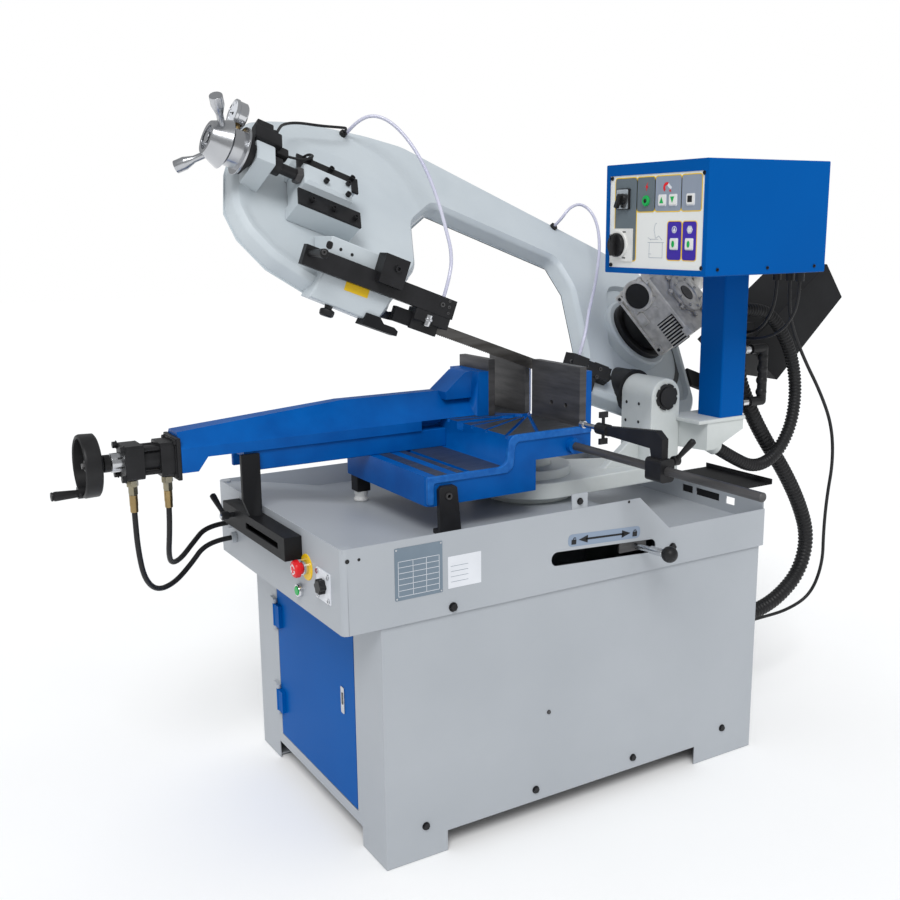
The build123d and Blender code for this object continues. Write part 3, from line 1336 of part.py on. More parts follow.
# Blade: round both wheels in their plane, then twisted upright through the guides
blade_in = WHEEL_R + SLIDING
blade_out = blade_in + BLADE_THICK
blade_mid = (blade_in + blade_out) / 2
TWIST_LEFT_A = -796
TWIST_RIGHT_A = -152


def run_angle(centre, guide_a, side):
    """Angle of the radius at which the lower run leaves a wheel towards a guide."""
    across, down = guide_a - centre, -WHEEL_B
    reach = sqrt(across**2 + down**2)
    spread = asin(sqrt(1 - (blade_mid / reach) ** 2))
    return atan2(down, across) - side * spread


left_angle = run_angle(IDLER_A, GUIDE_LEFT_A, 1)
right_angle = run_angle(DRIVE_A, GUIDE_RIGHT_A, -1)
left_way = (-sin(left_angle), cos(left_angle))
right_way = (sin(right_angle), -cos(right_angle))


def off_wheel(centre, angle, radius):
    """Point on a wheel at an angle."""
    return (centre + radius * cos(angle), WHEEL_B + radius * sin(angle))


def along(point, way, distance):
    """Point further along the lower run."""
    return (point[0] + way[0] * distance, point[1] + way[1] * distance)


left_run = (TWIST_LEFT_A - off_wheel(IDLER_A, left_angle, blade_mid)[0]) / left_way[0]
right_run = (TWIST_RIGHT_A - off_wheel(DRIVE_A, right_angle, blade_mid)[0]) / right_way[0]


def blade_edge(radius):
    """One side of the band from the left twist round both wheels to the right twist."""
    left_off = off_wheel(IDLER_A, left_angle, radius)
    right_off = off_wheel(DRIVE_A, right_angle, radius)
    Line(along(left_off, left_way, left_run), left_off)
    ThreePointArc(left_off, off_wheel(IDLER_A, pi, radius), off_wheel(IDLER_A, pi / 2, radius))
    Line(off_wheel(IDLER_A, pi / 2, radius), off_wheel(DRIVE_A, pi / 2, radius))
    ThreePointArc(off_wheel(DRIVE_A, pi / 2, radius), off_wheel(DRIVE_A, 0, radius), right_off)
    Line(right_off, along(right_off, right_way, right_run))
    return along(left_off, left_way, left_run), along(right_off, right_way, right_run)


def blade_section(a, b, c, turn, way):
    """Plane of the blade's section: its x is the blade's width."""
    wide = Vector(-way[1] * sin(turn), way[0] * sin(turn), cos(turn))
    origin = BOW.from_local_coords(Vector(a, b, c))
    x_dir = BOW.from_local_coords(wide) - BOW_ORIGIN
    z_dir = BOW.from_local_coords(Vector(way[0], way[1], 0)) - BOW_ORIGIN
    return Plane(origin=origin, x_dir=x_dir, z_dir=z_dir)


UPRIGHT = radians(90 - LEAN)
TWIST_STEPS = 6
with BuildPart(BOW) as blade:
    with BuildSketch(BOW.offset(WHEEL_C - BLADE_WIDTH / 2)):
        with BuildLine():
            inner_ends = blade_edge(blade_in)
            outer_ends = blade_edge(blade_out)
            Line(inner_ends[0], outer_ends[0])
            Line(inner_ends[1], outer_ends[1])
        make_face()
    extrude(amount=BLADE_WIDTH)
    left_start = along(off_wheel(IDLER_A, left_angle, blade_mid), left_way, left_run)
    right_start = along(off_wheel(DRIVE_A, right_angle, blade_mid), right_way, right_run)
    for start, guide_a, way in (
        (left_start, GUIDE_LEFT_A, left_way),
        (right_start, GUIDE_RIGHT_A, right_way),
    ):
        for step in range(TWIST_STEPS + 1):
            share = step / TWIST_STEPS
            side = 1 if way[0] > 0 else -1
            blend = (way[0] * (1 - share) + side * share, way[1] * (1 - share))
            size = sqrt(blend[0] ** 2 + blend[1] ** 2)
            with BuildSketch(
                blade_section(
                    start[0] + (guide_a - start[0]) * share,
                    start[1] * (1 - share),
                    WHEEL_C * (1 - share),
                    side * UPRIGHT * share,
                    (blend[0] / size, blend[1] / size),
                )
            ):
                Rectangle(BLADE_WIDTH, BLADE_THICK)
        loft(ruled=True)
    with BuildSketch(GUIDE.offset(-BLADE_THICK / 2)) as straight:
        with Locations(((GUIDE_LEFT_A + GUIDE_RIGHT_A) / 2, 0)):
            Rectangle(GUIDE_RIGHT_A - GUIDE_LEFT_A, BLADE_WIDTH)
    extrude(straight.sketch, amount=BLADE_THICK)
write(blade, "saw_blade")

# Tension slide with the idler's axle
with BuildPart(BOW) as slide:
    block(SLIDE_A, (WHEEL_B - TONGUE_B, WHEEL_B + TONGUE_B), (-RECESS_DEPTH + SLIDING, RAIL_C - SLIDING))
    block(SLIDE_A, (WHEEL_B - SLIDE_HALF, WHEEL_B + SLIDE_HALF), (RAIL_C - SLIDING, SLIDE_TOP))
    chamfer(slide.faces().filter_by(BOW).sort_by(Axis(BOW_ORIGIN, OUT))[-1].edges(), length=7)
    rod((IDLER_A, WHEEL_B, -BOW_DEPTH + 4), (0, 0, 1), AXLE_R, BOW_DEPTH)
    rod((IDLER_A, WHEEL_B, -BOW_DEPTH + 4), (0, 0, 1), AXLE_R + 8, 4)
    rod((SLIDE_A[0], WHEEL_B, SCREW_C), (1, 0, 0), SCREW_R + RUNNING, SCREW_GRIP + 16, Mode.SUBTRACT)
write(slide, "tension_slide")

# Tension handle: screw, spring, plate and ring, and a conical hub with two bottle grips
HUB_A = (-1306, -1262)
HUB_R = (38, 57)
HUB_DISH = (28, 9)
RING_A, RING_R = (-1255, -1226), 44
PLATE_R = 56
PLATE = 6
SPRING_R = 23
STOP_NUT = (21, 22)
GRIP_TURNS = (82, -98)
GRIP_ROOT = (-1286, 40)
GRIP_END = (-1332, 104)
GRIP_NECK_R, GRIP_END_R = 8, 15
with BuildPart(BOW) as tension:
    with Locations(Plane(origin=(HUB_A[0], WHEEL_B, SCREW_C), z_dir=(1, 0, 0))):
        Cone(HUB_R[0], HUB_R[1], HUB_A[1] - HUB_A[0], align=MIN_Z)
    rod((HUB_A[0], WHEEL_B, SCREW_C), (1, 0, 0), HUB_DISH[0], HUB_DISH[1], Mode.SUBTRACT)
    rod((HUB_A[0], WHEEL_B, SCREW_C), (1, 0, 0), SCREW_R, SLIDE_A[0] + SCREW_GRIP - HUB_A[0])
    rod((HUB_A[1], WHEEL_B, SCREW_C), (1, 0, 0), SPRING_R, SCREW_BEARING[0] - SLIDING - HUB_A[1])
    rod((RING_A[0], WHEEL_B, SCREW_C), (1, 0, 0), RING_R, RING_A[1] - RING_A[0])
    rod((RING_A[1], WHEEL_B, SCREW_C), (1, 0, 0), PLATE_R, PLATE)
    rod((SCREW_BEARING[1] + SLIDING, WHEEL_B, SCREW_C), (1, 0, 0), *STOP_NUT)
    for turn in GRIP_TURNS:
        side = Vector(0, cos(radians(turn)), sin(radians(turn)))
        root = Vector(GRIP_ROOT[0], WHEEL_B, SCREW_C) + side * GRIP_ROOT[1]
        end = Vector(GRIP_END[0], WHEEL_B, SCREW_C) + side * GRIP_END[1]
        reach = end - root
        rod(root, reach, GRIP_NECK_R, reach.length / 2)
        with Locations(Plane(origin=root + reach * 0.4, z_dir=reach)):
            Cone(GRIP_NECK_R, GRIP_END_R, reach.length * 0.3, align=MIN_Z)
        rod(root + reach * 0.7, reach, GRIP_END_R, reach.length * 0.3)
write(tension, "tension_handle")

# Guide arm: an upright bar with the left guide under its right end
BAR_A = (-1062, -642)
BAR_UP = (30, BAR_TOP)
BAR_FRONT = (6, 26)
HEAD_A = (-745, -646)
HEAD_FRONT = (-16, 24)
SHOE_A = (-745, -668)
SHOE_UP = (-22, 4)
SHOE_FRONT = (5, 15)
GUIDE_SLOT = 1
SLOT_TOP = 16
HEAD_LOW = 2
HOSE_PLACE = 16
to_guide = BOW.location.inverse() * GUIDE.location
with BuildPart(BOW) as guide_arm:
    with Locations(to_guide):
        block(BAR_A, BAR_UP, BAR_FRONT)
        block(HEAD_A, (HEAD_LOW, BAR_UP[0] + 1), HEAD_FRONT)
        block(HEAD_A, (HEAD_LOW, SLOT_TOP), (-GUIDE_SLOT, GUIDE_SLOT), Mode.SUBTRACT)
        block(SHOE_A, SHOE_UP, SHOE_FRONT)
write(guide_arm, "guide_arm")

# Grip at the bar's left end, to slide the guide by
GRIP_A, GRIP_UP = -1048, 60
GRIP_OUT = 76
with BuildPart(GUIDE) as guide_grip:
    with Locations((GRIP_A, GRIP_UP, BAR_FRONT[1])):
        Cone(8, 11, GRIP_OUT, align=MIN_Z)
    fillet(guide_grip.faces().sort_by(Axis.Y)[0].edges(), radius=2)
write(guide_grip, "guide_grip")

# Holders on the bow: the clamp of the guide bar, the gibs of the slide and the fixed right guide
CLAMP_A = (-874, -808)
CLAMP_UP = (52, 122)
CLAMP_FRONT = 46
RIGHT_HEAD_A = (-250, -198)
RIGHT_HEAD_UP = 62
RIGHT_HEAD_FRONT = (-12, 30)
RIGHT_ARM_A = (-205, -110)
RIGHT_ARM_UP = (22, 58)
RIGHT_ARM_FRONT = (-4, 24)
RIGHT_SHOE_A = (-192, -150)
RIGHT_SHOE_UP = (-18, 24)
RIGHT_SHOE_FRONT = (6, 20)
FOOT_A = (-146, -95)
FOOT_B = (14, 56)
FOOT_TOP = 34
with BuildPart(BOW) as holders:
    for side in (-1, 1):
        inner, outer = side * (SLIDE_HALF + SLIDING), side * (TONGUE_B + SLIDING + RAIL_WIDTH)
        block(RAIL_A, sorted((WHEEL_B + inner, WHEEL_B + outer)), (RAIL_C, RAIL_C + GIB))
    block(FOOT_A, FOOT_B, (0, FOOT_TOP))
    with Locations(to_guide):
        block(CLAMP_A, (BAR_TOP + SLIDING, CLAMP_UP[1]), (PAD_FACE, CLAMP_FRONT))
        block(CLAMP_A, (CLAMP_UP[0], BAR_TOP + 2), (BAR_FRONT[1] + SLIDING, CLAMP_FRONT))
        block(RIGHT_ARM_A, RIGHT_ARM_UP, RIGHT_ARM_FRONT)
        block(RIGHT_HEAD_A, (HEAD_LOW, RIGHT_HEAD_UP), RIGHT_HEAD_FRONT)
        block(RIGHT_HEAD_A, (HEAD_LOW, SLOT_TOP), (-GUIDE_SLOT, GUIDE_SLOT), Mode.SUBTRACT)
        block(RIGHT_SHOE_A, RIGHT_SHOE_UP, RIGHT_SHOE_FRONT)
write(holders, "bow_fittings")

# Worm gearbox on the drive boss, and its motor
GEAR_TURN = 39.3
gear_x = ALONG * cos(radians(GEAR_TURN)) + BOW.y_dir * sin(radians(GEAR_TURN))
GEAR = Plane(
    origin=BOW.from_local_coords(Vector(DRIVE_A, WHEEL_B, 0)), x_dir=gear_x, z_dir=OUT
)
gear_c = (GEAR_FACE, GEAR_FACE + GEAR_THICK)
gear_mid = sum(gear_c) / 2
GEAR_Y = (-102, 112)
with BuildPart(GEAR) as gearbox:
    block((-GEAR_HALF, GEAR_HALF), GEAR_Y, gear_c)
    fillet(gearbox.edges().filter_by(Axis(BOW_ORIGIN, OUT)), radius=16)
    rod((0, 0, BOSS_HEIGHT + DRIVE_RING), (0, 0, 1), 72, GEAR_GAP)
    rod((0, 0, gear_c[1]), (0, 0, 1), 46, 7)
    rod((-GEAR_HALF - 10, WORM_OFFSET, gear_mid), (1, 0, 0), 38, 2 * GEAR_HALF)
    for sx in (-1, 1):
        for y in (GEAR_Y[0] + 12,) if sx > 0 else (GEAR_Y[0] + 12, GEAR_Y[1] - 12):
            block(
                (sx * GEAR_HALF - 15, sx * GEAR_HALF + 15), (y - 12, y + 12), (gear_c[1] - 14, gear_c[1] + 6)
            )
    for step in range(7):
        x = -54 + 18 * step
        block((x - 4, x + 4), (GEAR_Y[0] - 1, GEAR_Y[0] + 9), (gear_c[0] + 16, gear_c[1] - 16), Mode.SUBTRACT)
    rod(
        (0, 0, 0), (0, 0, 1), AXLE_R + RUNNING, SHAFT_TOP + 20, Mode.SUBTRACT
    )
write(gearbox, "gearbox")

with BuildPart(GEAR) as motor:
    rod((GEAR_HALF, WORM_OFFSET, gear_mid), (1, 0, 0), MOTOR_R - 6, 14)
    rod((GEAR_HALF + 14, WORM_OFFSET, gear_mid), (1, 0, 0), MOTOR_R, MOTOR_LENGTH)
    fillet(motor.faces().sort_by(Axis(BOW_ORIGIN, gear_x))[-1].edges(), radius=14)
    block(
        (GEAR_HALF + 50, GEAR_HALF + 150),
        (WORM_OFFSET - 40, WORM_OFFSET + 40),
        (gear_mid + MOTOR_R - 24, gear_mid + MOTOR_R + 36),
    )
write(motor, "motor")

# Sheet guard behind the post, bracketed to the right end of the bow
GUARD = [(1031, 1299), (1105, 1200), (848, 973), (720, 1082)]
GUARD_Y = (-150, 50)
with BuildPart() as guard:
    with BuildSketch(Plane.XZ.offset(-GUARD_Y[1])) as guard_outline:
        with BuildLine():
            Polyline(*GUARD, close=True)
        make_face()
    extrude(guard_outline.sketch, amount=GUARD_Y[1] - GUARD_Y[0])
    with BuildSketch(Plane.XZ.offset(-GUARD_Y[1])) as guard_inner:
        with BuildLine():
            Polyline(*GUARD, close=True)
        make_face()
        offset(amount=-SHEET, kind=Kind.INTERSECTION)
    extrude(guard_inner.sketch, amount=GUARD_Y[1] - GUARD_Y[0] - SHEET, mode=Mode.SUBTRACT)
    with Locations(BOW):
        block((306, 412), (150, 215), (-10, 0))
        block((396, 412), (150, 215), (-10, 74))
write(guard, "rear_guard")

# Coolant hoses to the two guides, given in the bow's own frame
HOSE_SMALL = 9
left_hose = [
    (-887, 566, 0),
    (-887, 566, 42),
    (-860, 578, 82),
    (-818, 560, 104),
    (-768, 508, 112),
    (-724, 424, 114),
    (-694, 326, 110),
    (-680, 232, 108),
    (-676, 160, 112),
    (-678, *lean(BAR_TOP + 60, HOSE_PLACE)),
    (-678, *lean(BAR_TOP + SLIDING, HOSE_PLACE)),
]
right_hose = [
    (-160, 580, 0),
    (-160, 580, 36),
    (-146, 610, 66),
    (-112, 630, 84),
    (-80, 604, 92),
    (-68, 548, 92),
    (-80, 462, 90),
    (-112, 362, 88),
    (-154, 262, 92),
    (-206, 160, 100),
    (-226, *lean(RIGHT_HEAD_UP + 60, HOSE_PLACE)),
    (-226, *lean(RIGHT_HEAD_UP, HOSE_PLACE)),
]
cord([BOW.from_local_coords(Vector(*p)) for p in left_hose], HOSE_SMALL, "coolant_hose_left")
cord([BOW.from_local_coords(Vector(*p)) for p in right_hose], HOSE_SMALL, "coolant_hose_right")

# Cable from the control box to the cabinet
cable = [
    (*GLANDS[0], BOX_BOTTOM - BOX_GLAND),
    (*GLANDS[0], 1210),
    (676, -350, 1142),
    (730, -348, 1058),
    (800, -346, 968),
    (858, -344, 870),
    (876, -342, 765),
    (862, -340, 662),
    (862, -336, 562),
    (874, -330, 462),
    (842, -322, 372),
    (764, -308, 336),
    (668, CABLE_Y, CABLE_Z),
    (half_x + CABINET_GLAND + SLIDING, CABLE_Y, CABLE_Z),
]
cord(cable, CABLE_D, "cable_run")


def conduit(points, y, diameter, pitch, name):
    """A corrugated conduit in a plane of constant y, ribs outside and a bore inside."""
    vectors, radii = cord_path([(x, y, z) for x, z in points])
    crest, valley, bore = diameter / 2, diameter / 2 - MAIN_WALL / 2, diameter / 2 - MAIN_WALL
    with BuildLine() as path:
        FilletPolyline(*vectors, radius=radii)
    spine = path.wires()[0]
    count = int(spine.length / pitch)
    stations = []
    for rib in range(count):
        for part, radius in ((0.0, valley), (0.25, crest), (0.55, crest), (0.8, valley)):
            stations.append(((rib + part) / count, radius))
    stations.append((1.0, valley))
    with BuildPart() as hose:
        for share, radius in stations:
            with BuildSketch(Plane(origin=spine @ share, x_dir=(0, 1, 0), z_dir=spine % share)):
                Circle(radius)
        loft(ruled=True)
        with BuildSketch(Plane(origin=spine @ 0, x_dir=(0, 1, 0), z_dir=spine % 0)) as hole:
            Circle(bore)
        sweep(hole.sketch, path=spine, mode=Mode.SUBTRACT)
    print(f"{name}: radii {[round(r) for r in radii]}, length {spine.length:.0f}, ribs {count}")
    write(hose, name)


loop_end = loop_gland + loop_dir * LOOP_GLAND
loop_last = loop_end + loop_dir * 74
loop = [
    (post_x[1], 1190),
    (690, 1190),
    (750, 1155),
    (802, 1090),
    (838, 1006),
    (846, 914),
    (826, 832),
    (770, 764),
    (690, 746),
    (loop_last.X, loop_last.Z),
    (loop_end.X, loop_end.Z),
]
main_route = [
    (post_x[1] + ELBOW_LENGTH / 2, ELBOW_BOTTOM),
    (post_x[1] + ELBOW_LENGTH / 2, 1018),
    (700, 922),
    (770, 818),
    (860, 714),
    (938, 598),
    (984, 488),
    (958, 382),
    (870, 314),
    (766, 286),
    (668, MAIN_Z),
    (half_x + CABINET_GLAND + SLIDING, MAIN_Z),
]
conduit(loop, LOOP_Y, LOOP_D, 10, "conduit_loop")
conduit(main_route, MAIN_Y, MAIN_D, 12, "conduit_main")
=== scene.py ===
# %% [markdown]
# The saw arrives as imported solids, one object for each named piece and one empty for each
# body that moves. Nothing here moves them: this lesson puts finishes, rounded skins, screws,
# printed fields and hoses around that fixed frame, in the same metres.

# %% Load the frame
import json
import math

import bmesh
import bpy
from mathutils import Matrix, Vector
from mathutils.geometry import tessellate_polygon


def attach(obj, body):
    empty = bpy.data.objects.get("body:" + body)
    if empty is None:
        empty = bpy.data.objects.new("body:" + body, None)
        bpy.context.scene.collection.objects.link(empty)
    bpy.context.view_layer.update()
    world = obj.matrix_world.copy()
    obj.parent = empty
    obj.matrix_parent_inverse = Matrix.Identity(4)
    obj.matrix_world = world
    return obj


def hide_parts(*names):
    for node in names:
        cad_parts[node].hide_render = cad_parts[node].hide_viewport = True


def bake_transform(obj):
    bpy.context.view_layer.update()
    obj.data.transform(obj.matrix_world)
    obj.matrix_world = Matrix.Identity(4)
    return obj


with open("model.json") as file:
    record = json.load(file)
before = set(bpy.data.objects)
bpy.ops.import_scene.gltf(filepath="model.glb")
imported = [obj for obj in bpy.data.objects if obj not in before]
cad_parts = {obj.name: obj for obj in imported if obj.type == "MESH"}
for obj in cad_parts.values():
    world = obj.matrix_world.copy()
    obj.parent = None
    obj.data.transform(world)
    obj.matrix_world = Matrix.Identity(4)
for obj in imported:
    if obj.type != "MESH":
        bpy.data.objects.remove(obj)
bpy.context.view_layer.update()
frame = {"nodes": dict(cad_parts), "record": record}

BODY_OF = {node: body for body, members in frame["record"]["behaviour"]["bodies"].items() for node in members}
SLOT_OF = {subpart["node"]: subpart["material_slot"] for subpart in frame["record"]["subparts"]}

# %% [markdown]
# Sizes are easiest to read in millimetres, as on the drawing, so every shape is drawn in
# millimetres and scaled once when it is placed. The bow is raised and leans back, and the blade
# stands upright between its guides, so both get a frame of their own: a along the blade, then
# across and out of the bow's face, or up and to the front for the upright guides.

# %% Places
MM = 0.001
RAISE = math.radians(20.5)
LEAN = math.radians(40)
PIVOT = Vector((415, -18, 963))
BLADE_DROP = 25
LEFT, RIGHT = Vector((-1, 0, 0)), Vector((1, 0, 0))
FRONT, REAR = Vector((0, -1, 0)), Vector((0, 1, 0))
UP = Vector((0, 0, 1))
ALONG = Vector((math.cos(RAISE), 0, -math.sin(RAISE)))
RISING = Vector((math.sin(RAISE), 0, math.cos(RAISE)))
OUT = RISING * math.sin(LEAN) + FRONT * math.cos(LEAN)
ACROSS = OUT.cross(ALONG)
BOW_ORIGIN = PIVOT - RISING * BLADE_DROP


def seat(origin, x, z):
    """Where a shape sits: its origin in millimetres, its own x and its own z."""
    axes = Matrix((x, z.cross(x), z)).transposed().to_4x4()
    return Matrix.Translation(Vector(origin) * MM) @ axes


def shifted(place, x, y, z=0.0):
    """The same seat, moved along its own axes."""
    return place @ Matrix.Translation(Vector((x, y, z)) * MM)


def pointing(origin, z):
    """A seat whose z points along a direction, for screws and turned parts."""
    z = Vector(z).normalized()
    return seat(origin, z.orthogonal().normalized(), z)


def bow(a, b, c):
    return BOW_ORIGIN + ALONG * a + ACROSS * b + OUT * c


def guide(a, up, front):
    return BOW_ORIGIN + ALONG * a + RISING * up + FRONT * front


WORLD = seat((0, 0, 0), RIGHT, UP)
BOW = seat(BOW_ORIGIN, ALONG, OUT)
GUIDE = seat(BOW_ORIGIN, ALONG, FRONT)
print("bow origin", [round(x) for x in BOW_ORIGIN])

# %% [markdown]
# Finishes. Powder coat, enamel, blackened iron and rubber are all mixed the same way: one soft
# noise drifts the colour, and a finer one moves the gloss and gives the grain its bump. The
# noise reads Object coordinates, so a pattern stays on its piece when the machine moves.

# %% A painted or bare surface
GRAIN_HEIGHT = 0.0004
SOFT_DETAIL, FINE_DETAIL = 6, 3
DRIFT_STOPS = (0.3, 0.7)
FINISH = {}


def set_inputs(node, **values):
    for label, value in values.items():
        node.inputs[label.replace("_", " ")].default_value = value


def wire(tree, *joints):
    """Joins nodes; each joint is a node and its output, then a node and its input."""
    for source, output, target, taken in joints:
        tree.links.new(source.outputs[output], target.inputs[taken])


def finish(name, colour, drift, scale=6, rough=(0.35, 0.5), metal=0.0, bump=0.1, grain=250,
           stretch=(1, 1, 1), shine=0.25, clear=0.0):
    """A finish whose colour drifts, under a grain that moves its gloss and its relief."""
    material = bpy.data.materials.new(name)
    material.use_nodes = True
    nodes = material.node_tree.nodes
    shader = nodes["Principled BSDF"]
    place, turn, soft, fine, ramp, gloss, relief = (nodes.new("ShaderNode" + kind) for kind in (
        "TexCoord", "Mapping", "TexNoise", "TexNoise", "ValToRGB", "MapRange", "Bump"))
    set_inputs(turn, Scale=stretch)
    set_inputs(soft, Scale=scale, Detail=SOFT_DETAIL)
    set_inputs(fine, Scale=grain, Detail=FINE_DETAIL)
    set_inputs(gloss, To_Min=rough[0], To_Max=rough[1])
    set_inputs(relief, Strength=bump, Distance=GRAIN_HEIGHT)
    set_inputs(shader, Metallic=metal, Specular_IOR_Level=shine, Transmission_Weight=clear)
    for stop, position, shade in zip(ramp.color_ramp.elements, DRIFT_STOPS, (drift, colour)):
        stop.position, stop.color = position, (*shade, 1)
    wire(material.node_tree, (place, "Object", turn, "Vector"),
         (turn, "Vector", soft, "Vector"), (turn, "Vector", fine, "Vector"),
         (soft, "Fac", ramp, "Fac"), (ramp, "Color", shader, "Base Color"),
         (fine, "Fac", gloss, "Value"), (gloss, "Result", shader, "Roughness"),
         (fine, "Fac", relief, "Height"), (relief, "Normal", shader, "Normal"))
    FINISH[name] = material
    return material


# %% Sheet, castings and bare metal
finish("grey_sheet", (0.4, 0.425, 0.455), (0.365, 0.39, 0.42), 3, (0.36, 0.46), bump=0.08, grain=420)
finish("grey_casting", (0.6, 0.63, 0.62), (0.52, 0.55, 0.54), 9, (0.34, 0.5), bump=0.3, grain=120)
finish("bow_enamel", (0.55, 0.6, 0.63), (0.49, 0.54, 0.575), 5, (0.3, 0.44), bump=0.22, grain=110)
finish("blue_enamel", (0.0, 0.1, 0.4), (0.0, 0.074, 0.32), 14, (0.28, 0.44), bump=0.3, grain=140, shine=0.12)
# A lighter blue for the bed's raised rib: a painted highlight along its edges
finish("worn_blue", (0.012, 0.14, 0.47), (0.0, 0.09, 0.37), 60, (0.35, 0.55), bump=0.3, grain=140)
finish("blue_sheet", (0.0, 0.094, 0.37), (0.0, 0.084, 0.34), 3, (0.3, 0.4), bump=0.08, grain=420, shine=0.03)
finish("black_sheet", (0.014, 0.0145, 0.016), (0.009, 0.009, 0.01), 8, (0.42, 0.55), shine=0.15)
finish("black_casting", (0.018, 0.018, 0.02), (0.01, 0.01, 0.011), 20, (0.32, 0.5), bump=0.3, grain=160)
finish("dark_steel", (0.105, 0.103, 0.106), (0.058, 0.057, 0.058), 9, (0.34, 0.5), 0.35, 0.15, 90, (1, 1, 8))
finish("machined", (0.17, 0.18, 0.2), (0.09, 0.095, 0.105), 16, (0.28, 0.45), 0.8, 0.2, 130, (1, 8, 1))
finish("bright_steel", (0.62, 0.63, 0.65), (0.5, 0.51, 0.53), 12, (0.16, 0.3), 1.0, 0.08, 200, (1, 1, 6))
finish("blade_steel", (0.14, 0.135, 0.13), (0.075, 0.07, 0.065), 10, (0.3, 0.45), 0.9, 0.1, 150, (1, 8, 8))
finish("cast_aluminium", (0.74, 0.72, 0.69), (0.42, 0.41, 0.39), 36, (0.24, 0.42), 0.4, 0.4, 160)
finish("satin_steel", (0.56, 0.57, 0.59), (0.46, 0.47, 0.49), 14, (0.18, 0.3), 1.0, 0.06, 220)
finish("polished", (0.72, 0.73, 0.75), (0.63, 0.64, 0.66), 10, (0.12, 0.22), 1.0, 0.04, 240)
finish("wheel_iron", (0.18, 0.18, 0.19), (0.12, 0.12, 0.12), 12, (0.35, 0.5), 0.8, 0.2, 140)
finish("brass", (0.4, 0.29, 0.14), (0.28, 0.2, 0.09), 30, (0.24, 0.36), 1.0, 0.08, 200)
finish("zinc", (0.34, 0.3, 0.2), (0.24, 0.23, 0.19), 40, (0.24, 0.38), 1.0, 0.08, 200)
print("paints and metals", len(FINISH))

# %% Plastics, print and hoses
GLOSSY = {"scale": 20, "rough": (0.22, 0.3), "bump": 0.03}
SATIN = {"scale": 20, "rough": (0.3, 0.4), "bump": 0.03}
INKED = {"scale": 6, "rough": (0.34, 0.42), "bump": 0.03}
finish("red_plastic", (0.7, 0.015, 0.02), (0.58, 0.01, 0.015), **GLOSSY)
finish("green_plastic", (0.01, 0.42, 0.09), (0.01, 0.34, 0.07), **GLOSSY)
finish("yellow_plastic", (0.85, 0.56, 0.01), (0.76, 0.48, 0.01), **SATIN)
finish("white_plastic", (0.78, 0.78, 0.76), (0.7, 0.7, 0.68), **SATIN)
finish("black_plastic", (0.018, 0.018, 0.019), (0.012, 0.012, 0.013), 30, (0.34, 0.46), bump=0.15, grain=700)
finish("white_panel", (0.8, 0.81, 0.79), (0.75, 0.76, 0.74), 4, (0.34, 0.42), bump=0.03)
finish("print_grey", (0.28, 0.32, 0.39), (0.25, 0.29, 0.36), **INKED)
finish("print_slate", (0.14, 0.17, 0.19), (0.12, 0.15, 0.17), **INKED)
finish("print_violet", (0.05, 0.02, 0.38), (0.04, 0.018, 0.32), **INKED)
finish("label_grey", (0.2, 0.25, 0.3), (0.17, 0.22, 0.27), 12, (0.36, 0.44), 0.3, 0.05)
finish("label_white", (0.72, 0.74, 0.78), (0.64, 0.66, 0.7), 12, (0.36, 0.44), bump=0.03)
finish("pill_grey", (0.26, 0.32, 0.42), (0.23, 0.29, 0.38), 8, (0.36, 0.44), bump=0.03)
finish("black_hose", (0.02, 0.02, 0.021), (0.012, 0.012, 0.013), 14, (0.38, 0.5), bump=0.12, grain=300)
finish("clear_hose", (0.74, 0.74, 0.86), (0.64, 0.64, 0.8), 8, (0.12, 0.2), bump=0.02, shine=0.5, clear=0.25)
for name, slot in SLOT_OF.items():
    node = frame["nodes"][name]
    node.data.materials.clear()
    node.data.materials.append(FINISH[slot])
print("finishes", len(FINISH))

# %% [markdown]
# Most parts are boxes, turned parts and flat outlines. Each helper below draws one of them with
# its edges already broken, because no real edge is sharp and the light on a rounded edge is what
# makes metal look solid. A Kit gathers such shapes, with their finishes, into one piece.

# %% Outlines in millimetres
CORNER_STEPS, CORNER_SHARE, LEAST_SPREAD = 4, 0.45, 0.35


def rectangle(x, y):
    return [(x[0], y[0]), (x[1], y[0]), (x[1], y[1]), (x[0], y[1])]


def circle(centre, radius, count, start=0.0):
    angles = [start + 2 * math.pi * i / count for i in range(count)]
    return [(centre[0] + radius * math.cos(t), centre[1] + radius * math.sin(t)) for t in angles]


def neighbours(points):
    """Each corner of an outline with the one before and the one after it."""
    corners = [Vector(p) for p in points]
    return zip(corners[-1:] + corners[:-1], corners, corners[1:] + corners[:1])


def rounded(points, radius):
    """The outline with its corners rounded."""
    made = []
    for before, here, after in neighbours(points):
        before, after = before - here, after - here
        reach = min(radius, before.length * CORNER_SHARE, after.length * CORNER_SHARE)
        first, last = here + before.normalized() * reach, here + after.normalized() * reach
        for step in range(CORNER_STEPS + 1):
            t = step / CORNER_STEPS
            made.append(first * (1 - t) ** 2 + here * 2 * t * (1 - t) + last * t**2)
    return made


def inset(points, distance):
    """The outline moved inwards by a distance; points run anticlockwise."""
    made = []
    for before, here, after in neighbours(points):
        first, last = (here - before).normalized(), (after - here).normalized()
        side = Vector((-first.y - last.y, first.x + last.x)).normalized()
        spread = max(LEAST_SPREAD, side.dot(Vector((-first.y, first.x))))
        made.append(here + side * (distance / spread))
    return made


# %% Shapes drawn in millimetres
def ring_at(shape, points, height):
    return [shape.verts.new((p[0], p[1], height)) for p in points]


def strip(shape, low, high):
    """Faces between two rings; a ring of one vertex is a pole."""
    for i in range(max(len(low), len(high))):
        corners = [ring[(i + step) % len(ring)] for ring, step in ((low, 0), (low, 1), (high, 1), (high, 0))]
        shape.faces.new(list(dict.fromkeys(corners)))


